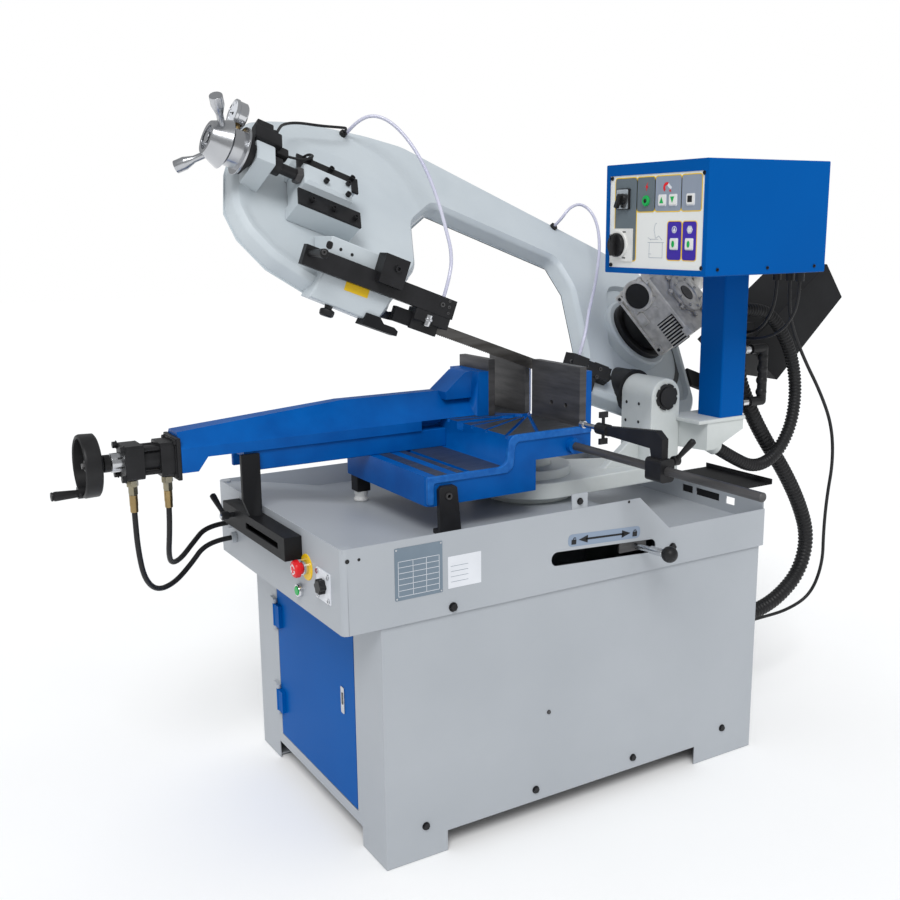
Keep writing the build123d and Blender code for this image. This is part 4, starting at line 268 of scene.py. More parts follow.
def block(x, y, z, round_by):
    """A box between two values on each axis, with its edges broken."""
    shape = bmesh.new()
    bmesh.ops.create_cube(shape, size=1)
    for corner in shape.verts:
        corner.co = [span[c > 0] for c, span in zip(corner.co, (x, y, z))]
    bmesh.ops.bevel(shape, geom=shape.edges[:], offset=round_by, segments=2, profile=0.5, affect="EDGES")
    return shape


def turned(profile, sides, around=(0, 0), start=0.0):
    """A lathe shape about z from pairs of radius and height; a closed profile gives a ring."""
    shape = bmesh.new()
    closed = profile[0] == profile[-1]
    rings = [ring_at(shape, circle(around, radius, sides, start) if radius else [around], height)
             for radius, height in (profile[:-1] if closed else profile)]
    for low, high in zip(rings, rings[1:] + rings[:1] if closed else rings[1:]):
        strip(shape, low, high)
    for ring in () if closed else (rings[0], rings[-1]):
        if len(ring) > 1:
            shape.faces.new(ring)
    return shape


def drum(radius, low, high, edge, sides=32, around=(0, 0)):
    profile = [(radius - edge, low), (radius, low + edge), (radius, high - edge), (radius - edge, high)]
    return turned(profile, sides, around)


def prism(points, low, high, round_by=0.0, segments=3, every=False):
    """An outline raised from low to high, its upper edge rounded, or every edge."""
    shape = bmesh.new()
    floor, roof = ring_at(shape, points, low), ring_at(shape, points, high)
    shape.faces.new(roof)
    shape.faces.new(floor[::-1])
    strip(shape, floor, roof)
    bmesh.ops.recalc_face_normals(shape, faces=shape.faces)
    if round_by:
        edges = [e for e in shape.edges if every or all(abs(v.co.z - high) < 1e-6 for v in e.verts)]
        bmesh.ops.bevel(shape, geom=edges, offset=round_by, segments=segments, profile=0.5,
                        affect="EDGES", clamp_overlap=True)
    return shape


# %% Gathering shapes into one piece
SHARP = math.radians(34)


def placed_object(name, data):
    thing = bpy.data.objects.new(name, data)
    bpy.context.scene.collection.objects.link(thing)
    return thing


def evaluated(thing):
    """A plain mesh of a piece, with its modifiers worked in."""
    view = bpy.context.evaluated_depsgraph_get()
    return bpy.data.meshes.new_from_object(thing.evaluated_get(view))


def settled(thing):
    """The piece on its evaluated mesh, without its modifiers."""
    mesh = evaluated(thing)
    mesh.name = thing.name
    thing.modifiers.clear()
    thing.data = mesh
    return thing


def fair(thing):
    """Shading that keeps flat faces flat beside a rounded edge."""
    thing.modifiers.new("fair", "WEIGHTED_NORMAL").keep_sharp = True
    return settled(thing)


def faired(thing):
    thing.data.set_sharp_from_angle(angle=SHARP)
    return fair(thing)


def meshed(name, shape, place):
    """The shape as a mesh in metres, at its place."""
    bmesh.ops.recalc_face_normals(shape, faces=shape.faces)
    shape.transform(place @ Matrix.Scale(MM, 4))
    mesh = bpy.data.meshes.new(name)
    shape.to_mesh(mesh)
    shape.free()
    return mesh


class Kit:
    """Shapes with their finishes, gathered into one piece."""

    def __init__(self, name, place=WORLD):
        self.name, self.place = name, place
        self.mesh, self.finishes = bmesh.new(), []

    def add(self, surface, *shapes, place=None):
        if surface not in self.finishes:
            self.finishes.append(surface)
        for shape in shapes:
            for face in shape.faces:
                face.material_index = self.finishes.index(surface)
                face.smooth = True
            part = meshed("part", shape, self.place if place is None else place)
            self.mesh.from_mesh(part)
            bpy.data.meshes.remove(part)

    def done(self, body):
        mesh = bpy.data.meshes.new(self.name)
        self.mesh.to_mesh(mesh)
        self.mesh.free()
        for surface in self.finishes:
            mesh.materials.append(FINISH[surface])
        thing = faired(placed_object(self.name, mesh))
        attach(thing, body)
        print(self.name, "on", body, "faces", len(thing.data.polygons))
        return thing

    def stands_for(self, node):
        """Ends a piece that takes a solid's place: on the solid's body, with the solid hidden."""
        thing = self.done(BODY_OF[node])
        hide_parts(node)


# %% [markdown]
# The castings and folded sheets already have the right shape as solids, only with knife edges.
# A copy of the solid is merged back into flat faces, the edges that turn are weighted, and a
# bevel breaks them by a radius that suits the part: large on a casting, small on a sheet.

# %% Rounded skins over the solids
TURNED_EDGE, FLAT = math.radians(28), math.radians(0.6)
WELD, SLIVER = 2e-6, 1e-6


def skin(node, radius, segments=2, sharp_at=None, **paint):
    """A rounded copy of a solid that stands for it; paint gives each other finish its rule."""
    source = frame["nodes"][node].data
    source.calc_loop_triangles()
    mesh = bpy.data.meshes.new(node + "_skin")
    mesh.from_pydata([v.co for v in source.vertices], [], [t.vertices[:] for t in source.loop_triangles])
    shape = bmesh.new()
    shape.from_mesh(mesh)
    bmesh.ops.remove_doubles(shape, verts=shape.verts, dist=WELD)
    bmesh.ops.dissolve_degenerate(shape, edges=shape.edges, dist=SLIVER)
    bmesh.ops.dissolve_limit(shape, angle_limit=FLAT, verts=shape.verts, edges=shape.edges)
    layer = shape.edges.layers.float.new("bevel_weight_edge")
    for edge in shape.edges:
        if len(edge.link_faces) != 2 or edge.calc_face_angle(0) < TURNED_EDGE:
            continue
        middle = (edge.verts[0].co + edge.verts[1].co) / 2 / MM
        edge.smooth = edge.is_convex and not (sharp_at and sharp_at(middle))
        edge[layer] = 1.0 if edge.smooth else 0.0
    for face in shape.faces:
        face.smooth = True
    shape.to_mesh(mesh)
    shape.free()
    thing = placed_object(node + "_skin", mesh)
    bevel = thing.modifiers.new("broken_edges", "BEVEL")
    bevel.limit_method, bevel.width, bevel.segments = "WEIGHT", radius * MM, segments
    fair(thing)
    for surface in (SLOT_OF[node], *paint):
        thing.data.materials.append(FINISH[surface])
    for face in thing.data.polygons:
        for index, rule in enumerate(paint.values(), 1):
            if rule(face.center / MM, face.normal):
                face.material_index = index
    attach(thing, BODY_OF[node])
    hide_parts(node)
    print(node, "skin faces", len(thing.data.polygons))


# %% Skins, some with a second finish
TABLE_TOP, TABLE_BAND, TOP_FACING = 930, 0.5, 0.9
CYLINDER_CAP, POST_RIGHT, BOX_BOTTOM = -973.5, 620, 1295.5
HANDLE_HUB, GEAR_UNDERSIDE = -1222, 85.5
TRAY_CORNER_X, TRAY_CORNER_Y = -640, -362
OPENING_LEFT, OPENING_RIGHT, OPENING_TOP = -705, -120, 460
FACING_OUT, FACING_BACK = 0.95, -0.7


def along(p):
    return (p - BOW_ORIGIN).dot(ALONG)


def on_table(p, n):
    return n.z > TOP_FACING and abs(p.z - TABLE_TOP) < TABLE_BAND


def on_outer_edge(p, n):
    """Faces of the cover that don't look back, nor into the opening of the bow."""
    opening = OPENING_LEFT < along(p) < OPENING_RIGHT and (p - BOW_ORIGIN).dot(ACROSS) < OPENING_TOP
    return n.dot(OUT) > FACING_OUT or (n.dot(OUT) > FACING_BACK and not opening)


skin("cabinet", 2.0)
skin("cabinet_door", 2.5)
skin("tray", 1.4, sharp_at=lambda p: p.x < TRAY_CORNER_X and p.y < TRAY_CORNER_Y)
skin("chip_shelf", 1.2)
skin("turntable_base", 3)
skin("vise_bed", 1.6, machined=on_table)
skin("fixed_jaw_plates", 0.8)
skin("moving_jaw_plates", 0.8)
skin("vise_rail", 2.5)
skin("vise_beam", 5, 3)
skin("vise_cylinder", 1.0, bright_steel=lambda p, n: p.x < CYLINDER_CAP)
skin("vise_support", 1.0)
skin("stop_clamp", 1.2)
skin("swivel_arm", 4, 3)
skin("post_bracket", 5, 3)
skin("control_post", 1.2, black_sheet=lambda p, n: p.x > POST_RIGHT)
skin("blade_cover", 1.5, bow_enamel=on_outer_edge)
skin("tension_handle", 0.8, satin_steel=lambda p, n: True, black_casting=lambda p, n: along(p) > HANDLE_HUB)
skin("control_box", 1.6, black_plastic=lambda p, n: p.z < BOX_BOTTOM)
skin("rear_guard", 1.5)
skin("tension_slide", 1.2)
skin("guide_arm", 1.0)
skin("bow_fittings", 1.2)
skin("gearbox", 2.0, black_casting=lambda p, n: (p - BOW_ORIGIN).dot(OUT) < GEAR_UNDERSIDE)

# %% [markdown]
# Screws repeat all over a machine, so one node tree makes them all: a round head with a socket
# sunk in it, put on every point of a small cloud. Each point carries its own turn and size. A
# second tree makes hexagon bolts on a washer, and both end as real mesh, not as instances.

# %% Parts that every tree shares
SOCKET_KIND = {float: "NodeSocketFloat", int: "NodeSocketInt", tuple: "NodeSocketVector"}


def new_tree(name, inputs):
    """A tree with named inputs for its sizes, and its finish as the last one."""
    tree = bpy.data.node_groups.new(name, "GeometryNodeTree")
    new_socket = tree.interface.new_socket
    for way in ("INPUT", "OUTPUT"):
        new_socket("Geometry", in_out=way, socket_type="NodeSocketGeometry")
    for label, value in inputs.items():
        new_socket(label, in_out="INPUT", socket_type=SOCKET_KIND[type(value)]).default_value = value
    new_socket("Finish", in_out="INPUT", socket_type="NodeSocketMaterial")
    return tree, tree.nodes.new("NodeGroupInput"), tree.nodes.new("NodeGroupOutput")


def new_nodes(tree, *kinds):
    return [tree.nodes.new("GeometryNode" + kind) for kind in kinds]


def end_tree(tree, given, result, made, output):
    """Every tree ends in real geometry that carries its finish."""
    real, paint = new_nodes(tree, "RealizeInstances", "SetMaterial")
    wire(tree, (made, output, real, "Geometry"), (real, "Geometry", paint, "Geometry"),
         (given, "Finish", paint, "Material"), (paint, "Geometry", result, "Geometry"))


def set_to_work(thing, tree, **values):
    """Hangs a tree on a piece and sets its inputs, each by its identifier."""
    made = thing.modifiers.new("made", "NODES")
    made.node_group = tree
    for item in tree.interface.items_tree:
        label = item.name.replace(" ", "_")
        if item.item_type == "SOCKET" and item.in_out == "INPUT" and label in values:
            made[item.identifier] = values[label]
    return thing


# %% Node trees for fasteners
def raised_cylinder(tree, given, part):
    """A cylinder on its base, with the sizes of the fastener's head or washer."""
    solid, lift = new_nodes(tree, "MeshCylinder", "Transform")
    half, up = tree.nodes.new("ShaderNodeMath"), tree.nodes.new("ShaderNodeCombineXYZ")
    half.operation = "MULTIPLY"
    half.inputs[1].default_value = 0.5
    wire(tree, (given, part + " radius", solid, "Radius"), (given, part + " height", solid, "Depth"),
         (given, part + " sides", solid, "Vertices"), (given, part + " height", half, 0), (half, 0, up, "Z"),
         (solid, "Mesh", lift, "Geometry"), (up, "Vector", lift, "Translation"))
    return solid, lift


def on_points(tree, given, result, head, output):
    """Puts a head on each point of the cloud, turned and sized by the point's own values."""
    spread, turn, size = new_nodes(tree, "InstanceOnPoints", "InputNamedAttribute", "InputNamedAttribute")
    euler = tree.nodes.new("FunctionNodeEulerToRotation")
    for attribute, name, kind in ((turn, "turn", "FLOAT_VECTOR"), (size, "size", "FLOAT")):
        attribute.data_type = kind
        set_inputs(attribute, Name=name)
    wire(tree, (given, "Geometry", spread, "Points"), (head, output, spread, "Instance"),
         (turn, "Attribute", euler, "Euler"), (euler, "Rotation", spread, "Rotation"),
         (size, "Attribute", spread, "Scale"))
    end_tree(tree, given, result, spread, "Instances")


socket_screw, given, result = new_tree("socket_screw", {
    "Head radius": 1.0, "Head height": 1.0, "Head sides": 20, "Socket share": 0.55, "Socket depth": -0.6})
solid, raised = raised_cylinder(socket_screw, given, "Head")
lip, narrow, sunk = new_nodes(socket_screw, "ExtrudeMesh", "ScaleElements", "ExtrudeMesh")
set_inputs(lip, Offset_Scale=0.0)
wire(socket_screw, (raised, "Geometry", lip, "Mesh"), (solid, "Top", lip, "Selection"),
     (lip, "Mesh", narrow, "Geometry"), (lip, "Top", narrow, "Selection"),
     (given, "Socket share", narrow, "Scale"), (narrow, "Geometry", sunk, "Mesh"),
     (lip, "Top", sunk, "Selection"), (given, "Socket depth", sunk, "Offset Scale"))
on_points(socket_screw, given, result, sunk, "Mesh")

hex_bolt, given, result = new_tree("hex_bolt", {
    "Head radius": 1.0, "Head height": 0.75, "Head sides": 6,
    "Washer radius": 1.2, "Washer height": 0.2, "Washer sides": 20})
both = new_nodes(hex_bolt, "JoinGeometry")[0]
for part in ("Head", "Washer"):
    wire(hex_bolt, (raised_cylinder(hex_bolt, given, part)[1], "Geometry", both, "Geometry"))
on_points(hex_bolt, given, result, both, "Geometry")
print("trees", [tree.name for tree in bpy.data.node_groups])


# %% Setting fasteners
def fasten(name, body, tree, places, surface, **sizes):
    """Puts a fastener of a radius at each place, its head along a direction."""
    cloud = bpy.data.meshes.new(name)
    cloud.from_pydata([Vector(spot) * MM for spot, _, _ in places], [], [])
    cloud.attributes.new("turn", "FLOAT_VECTOR", "POINT")
    cloud.attributes.new("size", "FLOAT", "POINT")
    for i, (_, way, radius) in enumerate(places):
        cloud.attributes["turn"].data[i].vector = Vector(way).to_track_quat("Z", "Y").to_euler()
        cloud.attributes["size"].data[i].value = radius * MM
    thing = set_to_work(placed_object(name, cloud), tree, Finish=FINISH[surface], **sizes)
    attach(faired(settled(thing)), body)
    print(name, len(places), "fasteners on", body)


def heads(way, radius, spots):
    """Fasteners of one radius that all face one way."""
    return [(spot, way, radius) for spot in spots]


def four(y, z, reach_y, reach_z):
    """Four places around a centre."""
    return [(y + reach_y * j, z + reach_z * k) for j in (-1, 1) for k in (-1, 1)]


CABINET_FRONT, TRAY_FRONT, TRAY_LEFT = -372, -378, -657.5
FOOT_BOLTS_X, FOOT_BOLTS_Z = (-464, -158, 146, 458), 80
bolts = heads(FRONT, 8, [(x, CABINET_FRONT, FOOT_BOLTS_Z) for x in FOOT_BOLTS_X])
bolts += heads(REAR, 8, [(x, -CABINET_FRONT, FOOT_BOLTS_Z) for x in FOOT_BOLTS_X])
bolts += heads(FRONT, 9, [(-390, TRAY_FRONT, 594), (252, TRAY_FRONT, 626)])
bolts += heads(REAR, 9, [(-390, -TRAY_FRONT, 600), (252, -TRAY_FRONT, 600)])
bolts += heads(FRONT, 7, [(-39, TRAY_FRONT + 3, 785)])
fasten("cabinet_bolts", "base", hex_bolt, bolts, "black_casting")
plug = heads(FRONT, 4.5, [(-121, CABINET_FRONT, 273)])
fasten("cabinet_plug", "base", hex_bolt, plug, "dark_steel", Head_sides=12)

# %% [markdown]
# The hoses and conduits run along the same route points as the solids. A spline of order three
# through those points gives the curve, and a node tree sweeps a ring along it. On a corrugated
# conduit the ring's radius steps up and down, rib after rib; on a plain hose it stays put.

# %% A node tree for hoses and ribbed conduits
RIB_STEPS, PLAIN_STEPS = 4, 161
hose_tree, given, result = new_tree("hose", {"Radius": 0.01, "Steps": 160, "Rib depth": 0.0, "Sides": 16})
even, wide, sweep, ring, number = new_nodes(
    hose_tree, "ResampleCurve", "SetCurveRadius", "CurveToMesh", "CurvePrimitiveCircle", "InputIndex")


def arithmetic(operation, first, second):
    """One arithmetic node; a number is set, and another node's output is joined."""
    node = hose_tree.nodes.new("ShaderNodeMath")
    node.operation = operation
    for index, value in enumerate((first, second)):
        if isinstance(value, tuple):
            wire(hose_tree, (*value, node, index))
        else:
            node.inputs[index].default_value = value
    return node, 0


share = arithmetic("MODULO", (number, "Index"), RIB_STEPS)
off_crest = arithmetic("ABSOLUTE", arithmetic("SUBTRACT", share, (RIB_STEPS - 1) / 2), 0)
valley = arithmetic("GREATER_THAN", off_crest, 1)
girth = arithmetic("SUBTRACT", (given, "Radius"), arithmetic("MULTIPLY", valley, (given, "Rib depth")))
set_inputs(ring, Radius=1.0)
set_inputs(sweep, Fill_Caps=True)
wire(hose_tree, (given, "Geometry", even, "Curve"), (given, "Steps", even, "Count"),
     (even, "Curve", wide, "Curve"), (*girth, wide, "Radius"), (wide, "Curve", sweep, "Curve"),
     (given, "Sides", ring, "Resolution"), (ring, "Curve", sweep, "Profile Curve"))
if "Scale" in sweep.inputs:
    wire(hose_tree, (*girth, sweep, "Scale"))
end_tree(hose_tree, given, result, sweep, "Mesh")
print("hose tree nodes", len(hose_tree.nodes))


# %% Routes and hoses
HOSE_EDGE, HOSE_SIDES, ROUTE_STEPS = math.radians(60), 20, 16
RIB_DEPTH = 2.5


def route(name, points):
    """The spline of a hose through its route points, in metres."""
    data = bpy.data.curves.new(name, "CURVE")
    data.dimensions = "3D"
    data.resolution_u = ROUTE_STEPS
    spline = data.splines.new("NURBS")
    spline.points.add(len(points) - 1)
    for knot, point in zip(spline.points, points):
        knot.co = (*(Vector(point) * MM), 1)
    spline.order_u = 3
    spline.use_endpoint_u = True
    return placed_object(name, data)


def centreline(curve):
    """The points along a route, and its length."""
    traced = evaluated(curve)
    path = [v.co.copy() for v in traced.vertices]
    bpy.data.meshes.remove(traced)
    return path, sum((q - p).length for p, q in zip(path, path[1:]))


def hose(name, node, points, diameter, bodies, surface="black_hose", ribs=0):
    """A hose along its route; on one body it rides with it, between two it stays on neither."""
    curve = route(name + "_route", points)
    path, length = centreline(curve)
    steps = ribs * RIB_STEPS + 1 if ribs else PLAIN_STEPS
    set_to_work(curve, hose_tree, Radius=diameter / 2 * MM, Steps=steps, Sides=HOSE_SIDES,
                Rib_depth=RIB_DEPTH * MM if ribs else 0.0, Finish=FINISH[surface])
    thing = placed_object(name, evaluated(curve))
    bpy.data.objects.remove(curve)
    for face in thing.data.polygons:
        face.use_smooth = True
    thing.data.set_sharp_from_angle(angle=HOSE_EDGE)
    if node:
        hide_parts(node)
    if len(bodies) == 2:
        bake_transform(thing)
    else:
        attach(thing, bodies[0])
    print(name, "length", round(length, 3))


# %% Hoses and cables beside the cabinet
VISE_HOSE_FRONT = [(-951.5, 98, 829), (-951.5, 98, 762), (-948, 103, 690), (-933, 124, 614), (-896, 162, 568),
                   (-842, 204, 564), (-790, 236, 592), (-735.8, 259, 640), (-671.8, 259, 640)]
VISE_HOSE_REAR = [(-871.5, 98, 829), (-871.5, 98, 775), (-872, 108, 716), (-868, 140, 660), (-852, 178, 624),
                  (-816, 222, 618), (-774, 256, 642), (-727.8, 280, 675), (-671.8, 280, 675)]
CABLE_RUN = [(652, -352, 1272), (652, -352, 1210), (676, -350, 1142), (730, -348, 1058), (800, -346, 968),
             (858, -344, 870), (876, -342, 765), (862, -340, 662), (862, -336, 562), (874, -330, 462),
             (842, -322, 372), (764, -308, 336), (668, -300, 330), (582.3, -300, 330)]
LOOP_Y, MAIN_Y = -222, -178
LOOP = [(619, 1190), (690, 1190), (750, 1155), (802, 1090), (838, 1006), (846, 914), (826, 832), (770, 764),
        (690, 746), (603.9, 786), (539.8, 823)]
MAIN = [(652, 1100), (652, 1018), (700, 922), (770, 818), (860, 714), (938, 598), (984, 488), (958, 382),
        (870, 314), (766, 286), (668, 296), (582.3, 296)]
hose("hose_front", "vise_hose_front", VISE_HOSE_FRONT, 13, ("vise", "base"))
hose("hose_rear", "vise_hose_rear", VISE_HOSE_REAR, 13, ("vise", "base"))
hose("long_cable", "cable_run", CABLE_RUN, 9, ("swivel", "base"))
hose("loop_conduit", "conduit_loop", [(x, LOOP_Y, z) for x, z in LOOP], 36, ("swivel",), ribs=82)
hose("main_conduit", "conduit_main", [(x, MAIN_Y, z) for x, z in MAIN], 44, ("swivel", "base"), ribs=101)

# %% Coolant hoses; the right one stays on the bow, so it can stay a curve
COOLANT_DIAMETER = 9
COOLANT_LEFT = [(-887, 566, 0), (-887, 566, 42), (-860, 578, 82), (-818, 560, 104), (-768, 508, 112),
                (-724, 424, 114), (-694, 326, 110), (-680, 232, 108), (-676, 160, 112), (-678, 94.66, 100.32),
                (-678, 48.93, 61.94)]
COOLANT_RIGHT = [(-160, 580, 0), (-160, 580, 36), (-146, 610, 66), (-112, 630, 84), (-80, 604, 92),
                 (-68, 548, 92), (-80, 462, 90), (-112, 362, 88), (-154, 262, 92), (-206, 160, 100),
                 (-226, 83.17, 90.68), (-226, 37.21, 52.11)]
hose("coolant_left", "coolant_hose_left", [bow(*p) for p in COOLANT_LEFT], COOLANT_DIAMETER, ("bow", "guide"),
     "clear_hose")
coolant_right = route("coolant_right", [bow(*p) for p in COOLANT_RIGHT])
path, length = centreline(coolant_right)
coolant_right.data.bevel_depth = COOLANT_DIAMETER / 2 * MM
coolant_right.data.bevel_resolution = 4
coolant_right.data.use_fill_caps = True
coolant_right.data.materials.append(FINISH["clear_hose"])
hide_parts("coolant_hose_right")
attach(coolant_right, "bow")
print("coolant_right length", round(length, 3))

# %% [markdown]
# The bow is one large casting: a thick C with rounded edges, a shallow well over the idler wheel
# with soft sloping sides, a steeper one beside the gearbox, and rails for the slide. It is drawn
# from its outline, so that the rounding can be as generous as on the real casting.

# %% Bow casting
OUTLINE = [(-1207, 165), (-1207, 290), (-1176, 454), (-1120, 493), (-1049, 532), (-946, 571), (-828, 607),
           (-707, 633), (21, 582), (190, 560), (290, 480), (306, 420), (306, 90), (240, -20), (-150, -20),
           (-150, 60), (-130, 120), (-130, 360), (-176, 446), (-616, 446), (-693, 343), (-697, 189),
           (-786, 45), (-800, 4), (-990, 8), (-1103, 42), (-1175, 100)]
IDLER_WELL = [(-1180, 165), (-1182, 250), (-1150, 425), (-1040, 452), (-840, 474), (-826, 380), (-832, 190),
              (-860, 70), (-1000, 40), (-1090, 62), (-1160, 120)]
GEAR_WELL = [(-33, 70), (-33, 110), (-27, 218), (-9, 290), (10, 385), (30, 425), (85, 450), (180, 455),
             (262, 436), (282, 390), (282, 110), (250, 70)]
BOW_DEPTH, BOW_CORNER, WALL, DRAFT = 49, 22, 16, 12
SHOULDER, SHOULDER_DROP = 3, 9
WELL_DEPTH = 9
WELLS = [{"outline": IDLER_WELL, "corner": 40, "depth": WELL_DEPTH, "slope": 24},
         {"outline": GEAR_WELL, "corner": 30, "depth": 14, "slope": 7}]
WHEEL_B, DRIVE_A = 258, 86


def bow_shape():
    """The outline raised to its rounded face, with the wells sunk into it."""
    shape = bmesh.new()
    edge = rounded(OUTLINE[::-1], BOW_CORNER)
    loops = ((edge, -BOW_DEPTH), (edge, -WALL), (inset(edge, SHOULDER), -SHOULDER_DROP),
             (inset(edge, DRAFT), 0))
    rings = [ring_at(shape, loop, c) for loop, c in loops]
    for low, high in zip(rings, rings[1:]):
        strip(shape, low, high)
    shape.faces.new(rings[0][::-1])
    borders = [rings[-1]]
    for well in WELLS:
        loop = rounded(well["outline"][::-1], well["corner"])
        brink, floor = ring_at(shape, loop, 0), ring_at(shape, inset(loop, well["slope"]), -well["depth"])
        strip(shape, brink, floor)
        shape.faces.new(floor)
        borders.append(brink)
    corners = sum(borders, [])
    for triangle in tessellate_polygon([[v.co for v in border] for border in borders]):
        shape.faces.new([corners[i] for i in triangle])
    return shape


DRIVE_BOSS = [(60, -16), (112, -16), (112, 14), (106, 20), (60, 20), (60, -16)]
DRIVE_RING = [(60, 18), (94, 18), (94, 33), (91, 36), (76, 36), (74, 32), (60, 32), (60, 18)]
RAIL_NEAR, RAIL_FAR, RAIL_TOP = 43.3, 81.3, 52
RAIL_ENDS, PAD_ENDS = (-1072, -902), (-1000, -806)
PAD = [(77.3, 5.7), (118, 5.7), (118, -101), (77.3, -67)]
SPINDLE_BLOCK = ((-1195, -1146), (228, 288), (-WELL_DEPTH, 90))
casting = Kit("bow_body", BOW)
casting.add("bow_enamel", bow_shape(), turned(DRIVE_BOSS, 64, (DRIVE_A, WHEEL_B)))
casting.add("black_casting", turned(DRIVE_RING, 64, (DRIVE_A, WHEEL_B)))
for rail in ((WHEEL_B - RAIL_FAR, WHEEL_B - RAIL_NEAR), (WHEEL_B + RAIL_NEAR, WHEEL_B + RAIL_FAR)):
    casting.add("bow_enamel", block(RAIL_ENDS, rail, (-WELL_DEPTH, RAIL_TOP), 3))
casting.add("bow_enamel", block(*SPINDLE_BLOCK, 4))
casting.add("bow_enamel", prism(PAD, *PAD_ENDS, 3, every=True), place=seat(BOW_ORIGIN, RISING, ALONG))
casting.stands_for("bow_casting")

# %% [markdown]
# The control panel is a pale sheet with printed fields, two rotary switches, five keys and a
# lamp. The print is built as plates a fraction of a millimetre thick: they catch the same
# light as the sheet, and a symbol on a key can ride on that key when it is pressed.

# %% Printed shapes
ARC_STEPS = 10


def slab(x, y, low, high, corner=0.0):
    points = rectangle(x, y)
    return prism(rounded(points, corner) if corner else points, low, high)


def square(centre, half, low, high, corner):
    return slab(*((c - half, c + half) for c in centre), low, high, corner)


def band(points, width, low, high):
    """A closed line of a width around an outline, built as one quad strip."""
    outer, inner = inset(points, -width / 2), inset(points, width / 2)
    shape = bmesh.new()
    rings = [ring_at(shape, *loop) for loop in ((outer, low), (outer, high), (inner, high), (inner, low))]
    for first, second in zip(rings, rings[1:] + rings[:1]):
        strip(shape, first, second)
    return shape


def line(p, q, width, low, high):
    p, q = Vector(p), Vector(q)
    side = Vector((p.y - q.y, q.x - p.x)).normalized() * width / 2
    return prism([p - side, q - side, q + side, p + side], low, high)


def arc(centre, radius, begin, end, width, low, high):
    angles = [math.radians(begin + (end - begin) * i / ARC_STEPS) for i in range(ARC_STEPS + 1)]
    edge = [(radius + width / 2, t) for t in angles] + [(radius - width / 2, t) for t in reversed(angles)]
    return prism([(centre[0] + r * math.cos(t), centre[1] + r * math.sin(t)) for r, t in edge], low, high)


# %% Printed fields of the panel
PANEL_X = 272
PANEL = seat((PANEL_X, 0, 0), FRONT, LEFT)
INK, BORDER, MARK, TOP_MARK = 0.3, 0.6, 0.7, 0.8
UPPER, LOWER = (1448, 1533), (1332, 1425)
FIELDS = [((104, 188), (1327, 1533), "print_slate", 2.2), ((188, 255), UPPER, "print_slate", 2.2),
          ((255, 348), UPPER, "print_grey", 2.2), ((348, 417), UPPER, "print_grey", 2.2),
          ((302, 353), LOWER, "print_violet", 2.0), ((355, 404), LOWER, "print_violet", 2.0)]
KEY_FRAMES = [(327.5, 1371), (379.5, 1371), (282, 1475), (320, 1475), (380, 1475)]
LIGHTNING = [(222, 1498), (229, 1510), (225, 1510.5), (228, 1520), (218, 1507.5), (222.5, 1507)]
COOLANT_SIGN, DRIVE_SIGN, BOW_SIGN, SIGN_LINE = (327, 1405), (380, 1405), (296, 1505), 1.8
DROP = [(322, 1402), (327, 1399.5), (332, 1402), (327, 1411)]
ARROW_HEAD = [(304, 1496), (312, 1494), (309, 1502)]
SKETCH = [((238, 1337), (286, 1337)), ((238, 1337), (238, 1374)), ((286, 1337), (286, 1374)),
          ((232, 1374), (292, 1374)), ((240, 1382), (270, 1382)), ((236, 1346), (246, 1346)),
          ((260, 1384), (256, 1402)), ((262, 1384), (272, 1390)), ((254, 1402), (258, 1418)),
          ((258, 1418), (264, 1421)), ((272, 1390), (284, 1380)), ((233, 1386), (244, 1380))]
panel = Kit("panel_print", PANEL)
for x, y, surface, border in FIELDS:
    panel.add(surface, slab(x, y, 0, INK, 7))
    panel.add("yellow_plastic", band(rounded(rectangle(x, y), 9), border, 0, BORDER))
panel.add("label_white", *(square(centre, 14, 0, MARK, 3) for centre in KEY_FRAMES))
panel.add("label_white", band(circle(COOLANT_SIGN, 7.5, 16), SIGN_LINE, 0, MARK), prism(DROP, 0, MARK))
panel.add("label_white", band(circle(DRIVE_SIGN, 9, 6), SIGN_LINE, 0, MARK),
          square(DRIVE_SIGN, 6, 0, MARK, 0))
panel.add("label_white", line((300, 1512), (312, 1502), 7, 0, TOP_MARK))
panel.add("red_plastic", prism(LIGHTNING, 0, MARK), arc(BOW_SIGN, 9, 60, 230, 7, 0, MARK),
          prism(ARROW_HEAD, 0, TOP_MARK))
panel.add("print_grey", *(line(first, last, 0.9, 0, INK) for first, last in SKETCH))

# %% Lamp, switch plates and screws of the panel
LAMP = (223, 1475)
LAMP_LENS = [(0, 0), (13, 0), (13, 3), (11, 5), (5.5, 5), (5, 3.5), (0, 3.5)]
LAMP_CAP = [(0, 3), (4.8, 3), (4.8, 5.2), (3, 7), (0, 7)]
MAIN_DIAL = shifted(PANEL, 124, 1367)
DIAL_PLATE, DIAL_MARK_X, DIAL_MARKS_Z = ((99, 176), (1326, 1408)), (140, 152), (1333, 1398)
SELECTOR_FOOT, SELECTOR_PLATE = ((114, 163), (1455, 1507)), ((116, 161), (1457, 1505))
PANEL_CORNERS = [(-92, 1533), (-92, 1316), (-424, 1534), (-424, 1316)]
BOX_FRONT, BOX_SCREWS_X = -439, (307, 473, 638)
panel.add("green_plastic", turned(LAMP_LENS, 28, LAMP))
panel.add("black_plastic", turned(LAMP_CAP, 20, LAMP), slab(*SELECTOR_FOOT, 0, 6, 4),
          *(slab(DIAL_MARK_X, (z, z + 3), 3.8, 4.4) for z in DIAL_MARKS_Z))
panel.add("bright_steel", slab(*SELECTOR_PLATE, 5, 7, 4))
panel.add("white_plastic", slab(*DIAL_PLATE, 0, 4, 2))
panel.add("white_plastic", drum(36, 3, 9, 1, 40), place=MAIN_DIAL)
panel.done("swivel")
